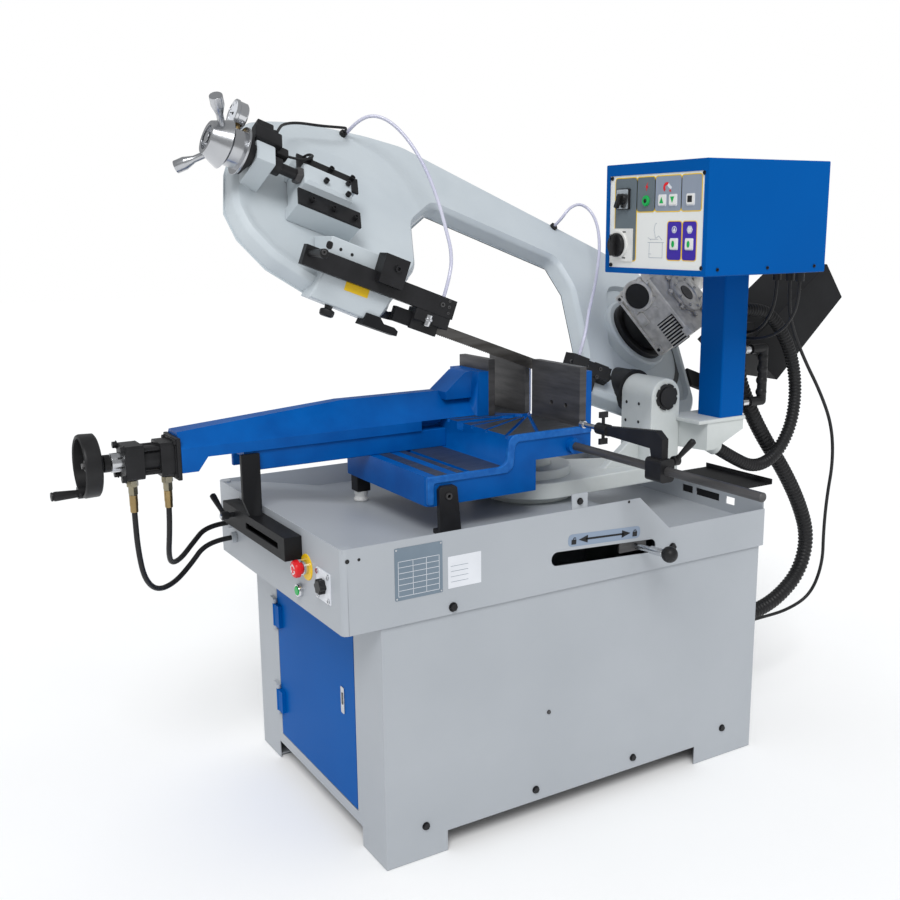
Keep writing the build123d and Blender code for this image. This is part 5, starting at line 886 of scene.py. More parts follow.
panel_screws = heads(LEFT, 5, [(PANEL_X, *corner) for corner in PANEL_CORNERS])
panel_screws += heads(FRONT, 4, [(x, BOX_FRONT, 1312) for x in BOX_SCREWS_X])
fasten("panel_screws", "swivel", socket_screw, panel_screws, "black_casting", Head_height=0.6)

# %% Key caps with their symbols, and the two rotary grips
KEY_X, KEY_SPAN = 268, (-12, 12)
KEY = seat((KEY_X, 0, 0), FRONT, LEFT)
OVAL = [(5 * math.cos(t / 8 * math.pi), 8 * math.sin(t / 8 * math.pi)) for t in range(16)]
KEYS = {"up": ((282, 1475.5), [(-7, -7.5), (7, -7.5), (0, 7.5)], "green_plastic"),
        "down": ((320, 1475.5), [(-7, 7.5), (0, -7.5), (7, 7.5)], "green_plastic"),
        "stop": ((380, 1476), rounded(rectangle((-7.5, 7.5), (-7.5, 7.5)), 1), "black_plastic"),
        "coolant": ((327, 1371), OVAL, "green_plastic"),
        "drive": ((380, 1371), OVAL, "green_plastic")}
MAIN_GRIP = [(0, 5), (30, 5), (30, 15), (28, 18), (0, 18)]
SELECTOR_GRIP = [(0, 6), (15, 6), (14, 14), (0, 14)]
SELECTOR_TURN = Matrix.Rotation(math.radians(-25), 4, "Z")
for name, (centre, symbol, surface) in KEYS.items():
    cap = Kit(name + "_key_cap", shifted(KEY, *centre))
    cap.add("white_plastic", prism(rounded(rectangle(KEY_SPAN, KEY_SPAN), 3), -6, 0, 1, 2))
    cap.add(surface, prism(symbol, 0, 0.5))
    cap.stands_for("button_" + name)
grip = Kit("main_switch_grip", MAIN_DIAL)
grip.add("black_plastic", turned(MAIN_GRIP, 48), block((-8, 8), (-27, 27), (16, 30), 3))
grip.add("label_white", slab((-1, 1), (12, 26), 29.8, 30))
grip.stands_for("main_switch")
grip = Kit("selector_grip", shifted(PANEL, 138, 1480) @ SELECTOR_TURN)
grip.add("black_plastic", turned(SELECTOR_GRIP, 32), block((-6, 6), (-23, 14), (12, 24), 3))
grip.stands_for("selector_switch")

# %% [markdown]
# The handwheel is a dished moulding: a broad rim, a thin web and a hub. One turned profile
# gives it. The hydraulic cylinder beside it is held by tie rods, so nuts show at its corners,
# and its two hoses end in zinc nuts and long crimped ferrules.

# %% Handwheel and crank
VISE_Y, VISE_Z = 98, 906
WHEEL_X, CRANK_X, CRANK_Z, CRANK_ARM = -1031, -1057, 846, 58
DISH = [(0, 22), (13, 22), (16, 19), (17, 6), (56, 4), (61, 8), (63, 32), (66, 35), (70, 33), (72, 28),
        (71, 0), (67, -3), (58, -3), (20, -5), (17, -16), (20, -18), (20, -31), (0, -31)]
GRIP = [(0, 0), (7, 0), (8, 3), (8.5, 12), (10.8, 62), (10.8, 66), (9.4, 67), (9.4, 69), (10.4, 70),
        (9.5, 73), (4, 73), (3.5, 71), (0, 71)]
CRANK_BOSS = [(0, 2), (15, 2), (14, 42), (0, 42)]
AXLE_NUT = [(0, 20), (8, 20), (8, 27), (6.5, 29), (0, 29)]
wheel = Kit("handwheel_dish", seat((WHEEL_X, VISE_Y, VISE_Z), FRONT, LEFT))
wheel.add("black_plastic", turned(DISH, 64), turned(CRANK_BOSS, 24, (0, -CRANK_ARM)))
wheel.add("dark_steel", turned(AXLE_NUT, 6))
wheel.stands_for("vise_handwheel")
handle = Kit("crank_handle", seat((CRANK_X, VISE_Y, CRANK_Z), FRONT, LEFT))
handle.add("black_plastic", turned(GRIP, 32))
handle.stands_for("crank_grip")

# %% Cylinder
PORT_NUT = [(0, 846), (12.5, 846), (13.5, 848), (13.5, 860), (0, 862)]
HOSE_NUT = [(0, 826), (9.5, 826), (11.5, 829), (11.5, 846), (0, 847)]
FERRULE = [(0, 786), (8.6, 786), (9, 788), (9, 800), (9.6, 802), (9.6, 826), (0, 828)]
END_FLANGE, FLANGE_FACE, CAP_FACE = ((-860, -850), (46, 150), (857, 955)), -860, -973
PORTS_X, TIE, NUT_TURN = (-951.5, -871.5), 34, 0.4
drive_end = Kit("cylinder_details")
drive_end.add("black_casting", block(*END_FLANGE, 2))
for port in ((x, VISE_Y) for x in PORTS_X):
    drive_end.add("zinc", turned(PORT_NUT, 6, port), turned(HOSE_NUT, 6, port, NUT_TURN))
    drive_end.add("brass", turned(FERRULE, 24, port))
drive_end.done("vise")
nuts = heads(LEFT, 8, [(CAP_FACE, *spot) for spot in four(VISE_Y, VISE_Z, TIE, TIE)])
fasten("tie_rod_nuts", "vise", hex_bolt, nuts, "black_casting", Head_height=1.2)
flange = heads(LEFT, 6, [(FLANGE_FACE, *spot) for spot in four(VISE_Y, VISE_Z, 43, 38)])
fasten("flange_screws", "vise", socket_screw, flange, "black_casting")

# %% [markdown]
# Around the operator's corner sit the emergency stop on its yellow disc, a start key in a
# bright ring, and the feed regulator on a small plate. The front of the tray carries a pill
# with a double arrow between two padlocks, which says when the swivel is locked.

# %% Operator's corner
SIDE = seat((TRAY_LEFT, 0, 0), FRONT, LEFT)
ESTOP, START, REGULATOR = (198, 684), (158, 619), (287, 666)
GLANDS = ((-259, 640), (-280, 675))
GLAND = [(0, 0), (14, 0), (14, 4), (12, 6), (10, 8), (0, 8)]
ESTOP_DISC = [(0, 0), (30, 0), (30, 1.5), (29, 2.5), (0, 2.5)]
ESTOP_COLLAR = [(13.6, 2), (16, 2), (16, 13), (15, 14), (13.6, 14), (13.6, 2)]
START_RING = [(11.2, 0), (15.5, 0), (15.5, 7), (14, 10), (11.2, 10), (11.2, 0)]
TRAY_CORNER = [(0, 578.5), (13.95, 578.5), (13.95, 767.5), (0, 767.5)]
TRAY_ROUND_X, TRAY_ROUND_Y = -643.5, (-364, 364)
REGULATOR_PLATE = ((252, 322), (631, 701))
EAR_X, EAR_Z, EAR_Y, EAR_SHEET = (-699.3, -657.7), (696.2, 749.8), (-173.8, 219), 7.8
corner = Kit("operator_corner", SIDE)
corner.add("yellow_plastic", turned(ESTOP_DISC, 48, ESTOP))
corner.add("polished", turned(ESTOP_COLLAR, 40, ESTOP), turned(START_RING, 40, START))
corner.add("label_white", slab(*REGULATOR_PLATE, 0, 2.2, 3))
corner.add("black_casting", *(turned(GLAND, 32, gland) for gland in GLANDS))
corner.add("grey_sheet", *(turned(TRAY_CORNER, 48, (TRAY_ROUND_X, y)) for y in TRAY_ROUND_Y), place=WORLD)
corner.add("black_sheet", *(block(EAR_X, (y, y + EAR_SHEET), EAR_Z, 1) for y in EAR_Y), place=WORLD)
corner.done("base")
plate_screws = heads(LEFT, 6, [(TRAY_LEFT - 2, *spot) for spot in four(-REGULATOR[0], REGULATOR[1], 27, 27)])
fasten("regulator_screws", "base", socket_screw, plate_screws, "polished", Head_height=0.55)

# %% Emergency stop and regulator
MUSHROOM_TOP = 34.5
MUSHROOM = [(0, -24), (13, -24), (13, -14), (20, -13), (20, -6), (18, -2), (13, 0), (0, 0)]
mushroom = Kit("estop_mushroom", shifted(SIDE, *ESTOP, MUSHROOM_TOP))
mushroom.add("red_plastic", turned(MUSHROOM, 48))
for begin in (20, 140, 260):
    tip = math.radians(begin + 80)
    arrow = [(10 * math.cos(tip + d) * s, 10 * math.sin(tip + d) * s)
             for d, s in ((-0.12, 1.4), (0.36, 1.0), (-0.12, 0.6))]
    mushroom.add("label_white", arc((0, 0), 10, begin, begin + 75, 2.6, -0.3, 0.3), prism(arrow, -0.3, 0.3))
mushroom.stands_for("estop_button")
knob = Kit("regulator_grip", shifted(SIDE, *REGULATOR))
swell = [(2 * math.pi * i / 72, 16 + 1.6 * math.cos(12 * math.pi * i / 72)) for i in range(72)]
knob.add("black_plastic", prism([(r * math.cos(t), r * math.sin(t)) for t, r in swell], 2, 17, 2))
knob.add("bright_steel", drum(12, 0, 3, 0.5))
knob.stands_for("regulator_knob")

# %% Plates on the tray's front
FACE = seat((0, TRAY_FRONT, 0), RIGHT, FRONT)
TILT = shifted(FACE, 35.5, 688.5) @ Matrix.Rotation(math.radians(-2.9), 4, "Z")
PILL_INK, RULE = (0.4, 0.9), (0.6, 1.0)
LOCK_AT, LOCK_HALF = 93, 7
CHART, GRID_X, GRID_Z = ((-534, -416), (634, 751)), (-526, -424), (642, 721)
DATA_LABEL, DATA_LINES_X = ((-402, -316), (638, 711)), (-395, -350)
SMALL_HOLES = ((-644, 742, 5), (-617, 742, 3.5), (108, 763, 3.5))
SLOT_PLATE = ((88, 172), (634, 660))
plates = Kit("tray_plates", FACE)
plates.add("pill_grey", slab((-110, 110), (-15, 15), 0, 0.5, 13), place=TILT)
plates.add("black_plastic", slab((-58, 58), (-2.4, 2.4), *PILL_INK), place=TILT)
for way, shackle, opened in ((-1, -91, 30), (1, 93, 0)):
    arrow = [(way * 79, 0), (way * 52, -9.5), (way * 52, 9.5)][::way]
    lock_x = (way * LOCK_AT - LOCK_HALF, way * LOCK_AT + LOCK_HALF)
    plates.add("black_plastic", prism(arrow, *PILL_INK), slab(lock_x, (-10, 2), *PILL_INK, 1),
               arc((shackle, 2), 4, opened, 180, 2.2, *PILL_INK), place=TILT)
plates.add("label_grey", slab(*CHART, 0, 0.8, 3))
plates.add("label_white", *(slab(GRID_X, (z, z + 1), *RULE) for z in range(*GRID_Z, 13)))
plates.add("label_white", *(slab((x, x + 1), GRID_Z, *RULE) for x in (-526, -490, -457, -425)))
plates.add("label_white", slab(*DATA_LABEL, 0, 0.6, 1))
plates.add("label_grey", *(slab(DATA_LINES_X, (z, z + 0.8), 0.5, 0.8) for z in range(652, 689, 12)))
# The small holes are thin black discs: painted shade inside the holes
for x, z, radius in SMALL_HOLES:
    plates.add("black_plastic", drum(radius, 0, 0.6, 0.2, around=(x, z)))
plates.add("dark_steel", slab(*SLOT_PLATE, -14, -8, 2))
plates.done("base")
rivets = heads(FRONT, 2, [(x, TRAY_FRONT, z) for x in (-530, -420) for z in (638, 747)])
fasten("plate_rivets", "base", socket_screw, rivets, "bright_steel", Head_height=0.7, Socket_share=0.1)

# %% Mitre lever with its sleeve, and the door lock
LEVER_TURN, LEVER_GRIP = math.radians(12), -446
LEVER_PIN, DOOR_FACE = (63, -18, 646), -566
SLEEVE = [(0, 406), (8.5, 406), (10, 408), (10, 440), (8, 446), (0, 446)]
LOCK_PLATE, LOCK_SLOT = ((157, 175), (300, 366)), ((162, 170), (322, 352))
LEVER_WAY = RIGHT * math.sin(LEVER_TURN) + FRONT * math.cos(LEVER_TURN)
skin("mitre_lever", 0.6, black_plastic=lambda p, n: p.y < LEVER_GRIP)
sleeve = Kit("mitre_sleeve", pointing(LEVER_PIN, LEVER_WAY))
sleeve.add("polished", turned(SLEEVE, 32))
sleeve.done(BODY_OF["mitre_lever"])
lock = Kit("door_lock", seat((DOOR_FACE, 0, 0), FRONT, LEFT))
lock.add("bright_steel", slab(*LOCK_PLATE, 0, 2, 4))
lock.add("dark_steel", slab(*LOCK_SLOT, 1.5, 2.6, 3))
lock.done("door")

# %% [markdown]
# The vise bed is a blue casting whose working faces are machined bare. Strips of bare metal lie
# on its lower step beside the T-slot, a raised rib runs along its front edge, and it stands on a
# black bracket in front and on a short tube with a rubber foot behind.

# %% Bed
STEP_TOP, BED_FRONT, STRIP_REAR = 857, -235, 194
BARE_STRIPS = ((-345, -314), (-288, -269), (-253, -162))
BED_FACE = seat((0, BED_FRONT, 0), RIGHT, FRONT)
RIB = [(-370, 857), (-168, 857), (-152, 866), (-146, 918), (-134, 930), (101, 930), (101, 912), (-120, 912),
       (-128, 904), (-134, 852), (-150, 840), (-354, 840), (-354, 790), (-370, 790)]
LEG = [(-344, 716), (-286, 716), (-297, 828), (-306, 834), (-338, 834), (-346, 826)]
FOOT = [(0, 716), (19, 716), (20, 720), (16, 726), (16, 730), (18, 734), (18, 743), (0, 743)]
LEG_SOLE = ((-342, -292), (BED_FRONT - 12, BED_FRONT + 26), (715, 727))
FOOT_TUBE, FOOT_CENTRE = ((-364, -326), (143, 181), (742, 787)), (-345, 162)
bed = Kit("bed_details")
for bare in BARE_STRIPS:
    bed.add("machined", block(bare, (BED_FRONT + 4, STRIP_REAR), (STEP_TOP - 2, STEP_TOP + 0.7), 0.4))
# The rib takes the lighter blue: a painted highlight on the raised rib
bed.add("worn_blue", prism(rounded(RIB, 7), -6, 4, 2.5), place=BED_FACE)
bed.done("base")
legs = Kit("bed_feet")
legs.add("black_casting", prism(LEG, 1, 14, 2.5), place=BED_FACE)
legs.add("black_casting", block(*LEG_SOLE, 2), block(*FOOT_TUBE, 2))
legs.add("white_plastic", turned(FOOT, 32, FOOT_CENTRE))
legs.stands_for("bed_legs")
leg_screw = heads(FRONT, 8, [(-322, BED_FRONT - 14, 810)])
fasten("leg_screw", "base", socket_screw, leg_screw, "dark_steel", Head_height=0.6)

# %% [markdown]
# Lever handles on machines like this one are tapered mouldings on a steel hub, so they can be
# lifted and set. Both are turned along the line from the hub to the tip.

# %% Clamp levers
HUB = [(0, -9), (10, -9), (11, -7), (11, 7), (9, 9), (0, 9)]
HUB_SCREW = [(0, 9), (6.5, 9), (6, 12), (0, 12)]


def lever(name, node, hub, tip, axis):
    handle = Kit(name, pointing(hub, axis))
    way = Vector(tip) - Vector(hub)
    end = way.length
    taper = [(0, -8), (7, -8), (8, -5), (7.5, 8), (5.5, 16),
             (8.2, end - 8), (7.6, end - 2), (5, end), (0, end)]
    handle.add("black_plastic", turned(taper, 28), place=pointing(hub, way))
    handle.add("black_plastic", turned(HUB, 28))
    handle.add("bright_steel", turned(HUB_SCREW, 6))
    handle.stands_for(node)


lever("stop_lever", "stop_clamp_lever", (76, -569, 904), (88, -611, 955), RIGHT)
lever("support_handle", "support_lever", (-722, 150, 731), (-735, 198, 776), LEFT)

# %% [markdown]
# On the bow's head sit the blade tension parts: a chrome gauge on a brass stem, a black limit
# switch with its cable, gib plates held by rows of socket screws, and the guide bar's clamp. They
# are placed in the bow's own frame, so they lean and rise with it.

# %% Gauge
GAUGE = seat(bow(-1234, 351, 80), ACROSS, -ALONG)
GAUGE_CASE = [(0, -12), (29, -12), (32, -9), (32, 9), (34, 11), (34, 17), (31, 18), (30, 15), (0, 15)]
STEM_FOOT, STEM_TOP = bow(-1236, 284, 62), bow(-1234, 326, 74)
DIAL = [(0, 14), (29.8, 14), (29.8, 15.6), (0, 15.6)]
POINTER, POINTER_CAP = ((-4, -5), (17, 14)), [(0, 15), (4, 15), (3, 17), (0, 17)]
MARKS, FIRST_MARK, MARK_STEP, MARK_ENDS = 9, 225, 33.75, (22, 27)
INK_WIDTH, INK_LOW, INK_TOP = 1.6, 15.4, 16
STEM_NUT = [(0, 14), (12, 14), (12, 26), (0, 26)]
head = Kit("head_details", BOW)
head.add("polished", turned(GAUGE_CASE, 48), place=GAUGE)
head.add("label_white", turned(DIAL, 48), place=GAUGE)
for mark in range(MARKS):
    t = math.radians(FIRST_MARK - MARK_STEP * mark)
    ends = [(radius * math.cos(t), radius * math.sin(t)) for radius in MARK_ENDS]
    head.add("black_plastic", line(*ends, INK_WIDTH, INK_LOW, INK_TOP), place=GAUGE)
head.add("black_plastic", line(*POINTER, INK_WIDTH, INK_LOW, INK_TOP + 0.4),
         turned(POINTER_CAP, 16), place=GAUGE)
head.add("brass", drum(7, 0, 46, 1, 20), turned(STEM_NUT, 6),
         place=pointing(STEM_FOOT, STEM_TOP - STEM_FOOT))

# %% Tension spindle, limit switch and cable glands
SPINDLE = seat(bow(0, WHEEL_B, 62), ACROSS, ALONG)
FLANGE = [(0, -1222), (47, -1222), (50, -1219), (50, -1212), (36, -1210), (36, -1203), (27, -1201),
          (27, -1194), (0, -1194)]
LOCK_NUT = [(0, -1082), (19, -1082), (20, -1080), (20, -1068), (0, -1066)]
LEFT_GLAND = [(0, -2), (13, -2), (13, 6), (10, 8), (10, 18), (7, 20), (0, 20)]
RIGHT_GLAND = [(0, -2), (12, -2), (12, 8), (8, 10), (0, 10)]
SWITCH_FOOT = ((-1200, -1132), (288, 330), (52, 98))
SWITCH_CASES = (((-1192, -1150), (326, 358), (58, 92), 3), ((-1140, -1108), (280, 306), (60, 84), 4))
SWITCH_EXIT, SWITCH_WAY = bow(-1150, 345, 76), ALONG * 20 + ACROSS * 8
head.add("black_casting", turned(FLANGE, 48), drum(12.5, -1147, -1074, 1), place=SPINDLE)
head.add("dark_steel", turned(LOCK_NUT, 6), place=SPINDLE)
head.add("black_casting", block(*SWITCH_FOOT, 3))
head.add("black_plastic", *(block(*case) for case in SWITCH_CASES))
head.add("black_plastic", drum(9, 0, 16, 1.5), place=pointing(SWITCH_EXIT, SWITCH_WAY))
head.add("black_plastic", turned(LEFT_GLAND, 8), place=pointing(bow(-897, 560, -8), OUT))
head.add("black_plastic", turned(RIGHT_GLAND, 8), place=pointing(bow(-160, 580, -2), OUT))
head.done("bow")
SWITCH_CABLE = [(-1136, 350, 76), (-1124, 384, 66), (-1102, 433, 48), (-1058, 471, 42), (-988, 501, 40),
                (-925, 532, 40), (-899, 554, 30), (-897, 560, 8)]
GIB_CABLE = [(-1110, 292, 74), (-1082, 286, 84), (-1060, 290, 96), (-1046, 312, 92), (-1052, 330, 76),
             (-1056, 332, 60)]
hose("switch_cable", None, [bow(*p) for p in SWITCH_CABLE], 7, ("bow",))
hose("gib_cable", None, [bow(*p) for p in GIB_CABLE], 6, ("bow",))

# %% Screws of the head, guide bar and right guide
GIB_FACE, SLIDE_FACE, CLAMP_FACE, BAR_FACE, RIGHT_FACE = 60, 87, 46, 26, 22.4
GIB_SCREWS = [(a, 329) for a in (-1040, -980, -921)] + [(a, 197) for a in (-1038, -980, -920)]
SLIDE_SCREWS = [(-1014, 247), (-952, 270), (-955, 232)]
BAR_SCREWS = [(-681, 57, 6), (-661, 57, 4), (-664, 71, 3.5), (-659, 42, 3.5)]
RIGHT_SCREWS = [(-250, 39), (-196, 41), (-149, 47), (-154, 24)]
gib_screws = heads(OUT, 6.5, [bow(a, b, GIB_FACE) for a, b in GIB_SCREWS])
slide_screws = heads(OUT, 6.5, [bow(a, b, SLIDE_FACE) for a, b in SLIDE_SCREWS])
clamp_screw = heads(FRONT, 8, [guide(-836, 95, CLAMP_FACE)])
bar_screws = [(guide(a, up, BAR_FACE), FRONT, radius) for a, up, radius in BAR_SCREWS]
bar_screws += heads(FRONT, 6, [guide(-1051, 62, 102)])
right_screws = heads(FRONT, 5.5, [guide(a, up, RIGHT_FACE) for a, up in RIGHT_SCREWS])
fasten("gib_screws", "bow", socket_screw, gib_screws, "black_casting", Head_height=1.3)
fasten("slide_screws", "tension", socket_screw, slide_screws, "black_casting", Head_height=1.3)
fasten("clamp_screw", "bow", socket_screw, clamp_screw, "black_casting", Head_height=0.8)
fasten("bar_screws", "guide", socket_screw, bar_screws, "dark_steel", Head_height=0.5)
fasten("right_guide_screws", "bow", socket_screw, right_screws, "dark_steel", Head_height=0.6)

# %% Holes in the pad, and the left guide's roller
PAD_FACE, PAD_SLOT, PAD_HOLES = 5.8, ((-1009, -993), (86, 104)), ((-971, 95), (-940, 93))
ROLLER = [(0, -16), (8, -16), (9, -14), (9, -3), (12, -2), (12, 3), (9, 4), (9, 12), (0, 13)]
CARRIER_X, CARRIER_UP = (-792, -722), (-18, 18)
# The slot and the two tapped holes are thin black plates: painted shade inside them
holes = Kit("pad_holes", shifted(GUIDE, 0, 0, PAD_FACE))
holes.add("black_plastic", slab(*PAD_SLOT, 0, 0.5, 7),
          *(drum(4, 0, 0.5, 0.2, around=hole) for hole in PAD_HOLES))
holes.done("bow")
roller = Kit("guide_roller", GUIDE)
roller.add("polished", turned(ROLLER, 28), place=pointing(guide(-704, 10, 20), RISING))
roller.add("black_sheet", block(CARRIER_X, CARRIER_UP, (-10, -1.6), 2),
           block(CARRIER_X, CARRIER_UP, (1.6, 9), 2), block(CARRIER_X, (15, 18), (-8, 7), 1))
roller.done("guide")

# %% Box under the guide bar, with its knob and the dark guard that leads the blade out
SHIELD = [(-803, 36), (-829, -39), (-1011, -32), (-1005, -3), (-996, 36)]
GUARD = [(-868, -52), (-770, -52), (-770, -40), (-782, -34), (-812, -34), (-826, -22), (-862, -22)]
SHIELD_KNOB = [(0, 0), (10, 0), (9, -8), (17, -11), (18, -16), (17, -24), (13, -27), (0, -27)]
SHIELD_TOP, SHIELD_LABEL = ((-980, -812), (28, 80), (-40, 4)), ((-934, -870), (10, 33))
shield = Kit("blade_shield", GUIDE)
shield.add("bow_enamel", prism(SHIELD, -46, 5, 6), block(*SHIELD_TOP, 4))
shield.add("yellow_plastic", slab(*SHIELD_LABEL, 5, 5.6, 1))
shield.add("black_sheet", prism(GUARD, -24, 14, 1.5))
shield.add("black_plastic", turned(SHIELD_KNOB, 10), place=pointing(guide(-950, -34, -14), RISING))
shield.done("bow")

# %% [markdown]
# The worm gearbox is a bright die casting: a flange face with an open bore and corner lugs,
# cooling fins below, and an output ring on its upper side. The fins are one rib repeated by a
# node tree, which also lays the teeth along the blade.

# %% Gearbox faces
GEAR_TURN = math.radians(39.3)
GEAR_X = ALONG * math.cos(GEAR_TURN) + ACROSS * math.sin(GEAR_TURN)
GEAR_Y = OUT.cross(GEAR_X)
GEAR_ORIGIN = bow(DRIVE_A, WHEEL_B, 0)
GEAR_LEFT, GEAR_TOP, RING_TOP, RING_SCREWS, RING_LUGS = 98, 212, 224, 49, 8
BORE_FACE = seat(GEAR_ORIGIN - GEAR_X * GEAR_LEFT, GEAR_Y, -GEAR_X)
RING_FACE = seat(GEAR_ORIGIN + OUT * GEAR_TOP, GEAR_X, OUT)
BORE = (72, -149)
BORE_RIM = [(36, 0), (46, 0), (46, 11), (44, 13), (37, 13), (36, 11), (36, 0)]
OUTPUT_RING = [(24, 0), (58, 0), (60, 2), (60, 10), (56, 12), (40, 12), (38, 9), (24, 9), (24, 0)]
FACE_X = (-100, 108)
LUGS = [(97, -99), (92, -203), (-90, -203), (-84, -101)]
gear = Kit("gearbox_faces", BORE_FACE)
gear.add("cast_aluminium", prism(rounded(rectangle(FACE_X, (-212, -90)), 8), -2, 5, 2),
         turned(BORE_RIM, 48, BORE), *(block(FACE_X, (y, y + 8), (0, 12), 2) for y in (-212, -98)),
         block((-8, 30), (-130, -104), (0, 9), 3), drum(8, 0, 7, 1, around=(12, -167)),
         *(drum(7, 0, 12, 1, around=spot) for spot in circle(BORE, 47, 4, math.radians(45))))
# A black disc fills the open bore: painted shade inside it
gear.add("black_plastic", turned([(0, 4), (36.5, 4), (36.5, 10.5), (0, 10.5)], 40, BORE))
# A black plate under the fins: painted shade in the gaps between them
gear.add("black_casting", slab((-108, -26), (-198, -140), 4, 5.6))
for y, c in LUGS:
    gear.add("cast_aluminium", block((y - 12, y + 12), (c - 10, c + 10), (0, 13), 3))
    # A black disc on each lug: painted shade of its bolt hole
    gear.add("black_plastic", drum(5, 12, 13.4, 0.2, around=(y, c)))
gear.add("cast_aluminium", turned(OUTPUT_RING, 56), place=RING_FACE)
gear.add("dark_steel", drum(23, 1, 11, 1), place=RING_FACE)
for turn in range(RING_LUGS):
    turned_face = RING_FACE @ Matrix.Rotation(math.radians(22.5 + 45 * turn), 4, "Z")
    gear.add("cast_aluminium", block((-6, 6), (62, 76), (0, 8), 2), place=turned_face)
gear.done("bow")
ring_spots = [GEAR_ORIGIN + OUT * RING_TOP + GEAR_X * x + GEAR_Y * y
              for x, y in circle((0, 0), RING_SCREWS, RING_LUGS)]
fasten("gear_screws", "bow", socket_screw, heads(OUT, 4.5, ring_spots), "bright_steel", Head_height=0.7)

# %% Fins and teeth from one tree
row_tree, given, result = new_tree("row", {"Count": 10, "Step": (0.0, 0.0, 0.0)})
many, spread = new_nodes(row_tree, "MeshLine", "InstanceOnPoints")
wire(row_tree, (given, "Count", many, "Count"), (given, "Step", many, "Offset"),
     (many, "Mesh", spread, "Points"), (given, "Geometry", spread, "Instance"))
end_tree(row_tree, given, result, spread, "Instances")


def row(name, body, shape, place, count, step, surface):
    """Repeats a shape by a step along its place's own x, in millimetres."""
    thing = placed_object(name, meshed(name, shape, place))
    way = place.to_3x3() @ Vector((step, 0, 0)) * MM
    set_to_work(thing, row_tree, Count=count, Step=way[:], Finish=FINISH[surface])
    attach(faired(settled(thing)), body)
    print(name, count, "repeats on", body)


FINS, FIN_STEP, TEETH, TOOTH_STEP = 9, 9, 93, 6
TOOTH = [(1.2, -2.5), (TOOTH_STEP, 0), (0, 0)]
TEETH_START = shifted(GUIDE, -752, -12.6)
fin = block((-106, -102), (-196, -142), (2, 14), 1)
row("gear_fins", "bow", fin, BORE_FACE, FINS, FIN_STEP, "cast_aluminium")
row("blade_teeth", "bow", prism(TOOTH, -0.5, 0.5), TEETH_START, TEETH, TOOTH_STEP, "blade_steel")

# %% [markdown]
# Last come the small things on the swivel side: tapped holes in the pivot housing, chrome sleeves
# on the post's handle, and thin cables. They are small, but an eye that knows machines misses them.

# %% Swivel side
HANDLE_FOOT = [(0, 0), (13, 0), (13, 4), (11, 6), (0, 6)]
HANDLE_SLEEVE = [(0, 4), (10, 4), (10, 26), (9, 28), (0, 28)]
HOUSING_LEFT, POST_FACE = seat((365, 0, 0), FRONT, LEFT), 619
HOUSING_HOLES = ((57, 941), (108, 942), (54, 890), (107, 892))
HANDLE_Y, HANDLE_Z = -229, (937, 1082)
BRACKET_PLATE = ((452, 624), (-249, -112), (895, 906))
ELBOW_Y, ELBOWS = -205, ((648, 1126), (634, 1113))
swivel = Kit("swivel_details")
# The tapped holes are black discs: painted shade inside the holes
swivel.add("black_plastic", *(drum(4.5, 0, 0.5, 0.2, around=hole) for hole in HOUSING_HOLES),
           place=HOUSING_LEFT)
for z in HANDLE_Z:
    handle_end = pointing((POST_FACE, HANDLE_Y, z), RIGHT)
    swivel.add("black_casting", turned(HANDLE_FOOT, 28), place=handle_end)
    swivel.add("polished", turned(HANDLE_SLEEVE, 28), place=handle_end)
swivel.add("grey_casting", block(*BRACKET_PLATE, 3))
for x, z in ELBOWS:
    swivel.add("black_plastic", drum(8, -1, 12, 1.5), place=pointing((x, ELBOW_Y, z), FRONT))
swivel.done("swivel")
FEED_CABLE = [(652, -308, 1274), (652, -308, 1236), (651, -298, 1190), (649, -272, 1150), (648, -240, 1130),
              (648, -206, 1126)]
PUMP_CABLE = [(640, -395, 1274), (640, -395, 1236), (642, -382, 1188), (641, -345, 1142), (637, -294, 1120),
              (634, -244, 1113), (634, -206, 1113)]
hose("feed_cable", None, FEED_CABLE, 9, ("swivel",))
hose("pump_cable", None, PUMP_CABLE, 8, ("swivel",))

# %% [markdown]
# The camera stands where the photographer stood: its place and lens were found from edges whose
# sizes are known. A wide soft sun and an even white sky give the flat light of a catalogue
# picture, and the floor keeps only a faint shadow.

# %% Camera
SENSOR, FOCAL_PIXELS, FRAME_PIXELS = 36, 1076.08, 900
YAW, PITCH, ROLL = math.radians(30.821), math.radians(11.831), math.radians(0.574)
STAND = Vector((-1.5508, -2.3174, 1.4223))
ahead = Vector((math.sin(YAW) * math.cos(PITCH), math.cos(YAW) * math.cos(PITCH), -math.sin(PITCH)))
level = Vector((math.cos(YAW), -math.sin(YAW), 0))
below = ahead.cross(level)
across = level * math.cos(ROLL) + below * math.sin(ROLL)
lower = below * math.cos(ROLL) - level * math.sin(ROLL)
lens = bpy.data.cameras.new("photo_view")
lens.sensor_width, lens.lens, lens.clip_end = SENSOR, FOCAL_PIXELS / FRAME_PIXELS * SENSOR, 50
camera = placed_object("photo_view", lens)
camera.matrix_world = Matrix.Translation(STAND) @ Matrix((across, -lower, -ahead)).transposed().to_4x4()
bpy.context.scene.camera = camera
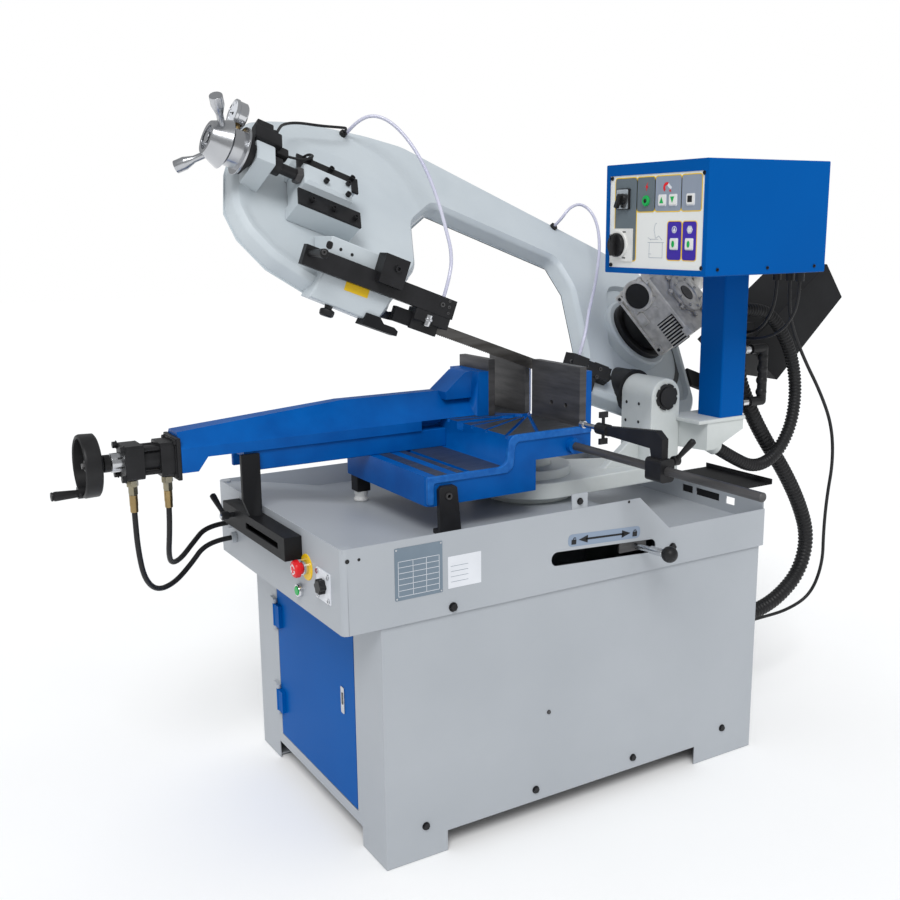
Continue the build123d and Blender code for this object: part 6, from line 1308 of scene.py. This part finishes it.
bpy.context.scene.view_settings.view_transform = "Standard"
print("lens", round(lens.lens, 2), "mm")

# %% Sky: light for the saw, white for the camera, and a dimmer room in its reflections
DAYLIGHT, WHITE = (0.97, 0.985, 1, 1), (1, 1, 1, 1)
SKY_STRENGTH, ROOM_STRENGTH = 0.72, 0.4
sky = bpy.data.worlds.new("studio")
bpy.context.scene.world = sky
sky.use_nodes = True
nodes = sky.node_tree.nodes
light = nodes["Background"]
seen, room, rays, choose, mirrored, either = (nodes.new("ShaderNode" + kind) for kind in (
    "Background", "Background", "LightPath", "MixShader", "MixShader", "Math"))
set_inputs(light, Color=DAYLIGHT, Strength=SKY_STRENGTH)
set_inputs(seen, Color=WHITE, Strength=1.0)
set_inputs(room, Color=DAYLIGHT, Strength=ROOM_STRENGTH)
either.operation = "MAXIMUM"
wire(sky.node_tree, (rays, "Is Camera Ray", either, 0), (rays, "Is Transmission Ray", either, 1),
     (either, 0, choose, 0), (light, 0, choose, 1), (seen, 0, choose, 2),
     (rays, "Is Glossy Ray", mirrored, 0), (choose, 0, mirrored, 1), (room, 0, mirrored, 2),
     (mirrored, 0, nodes["World Output"], "Surface"))
print("sky nodes", len(nodes))

# %% Sun and floor
FLOOR_SIZE, FLOOR_GAP = 20, -0.001
SUN_POWER, SUN_SPREAD, SUN_TURN = 1.6, 25, (42, 4, -38)
sun = bpy.data.lights.new("sun", "SUN")
sun.energy, sun.angle = SUN_POWER, math.radians(SUN_SPREAD)
placed_object("sun", sun).rotation_euler = [math.radians(turn) for turn in SUN_TURN]
sheet = bmesh.new()
bmesh.ops.create_grid(sheet, x_segments=1, y_segments=1, size=FLOOR_SIZE)
floor_mesh = bpy.data.meshes.new("floor")
sheet.to_mesh(floor_mesh)
sheet.free()
floor = placed_object("floor", floor_mesh)
floor.location.z = FLOOR_GAP
floor_mesh.materials.append(
    finish("floor", (0.97, 0.97, 0.97), (0.955, 0.955, 0.955), 2, (0.6, 0.7), bump=0.0, shine=0.0))
print("floor at", FLOOR_GAP)
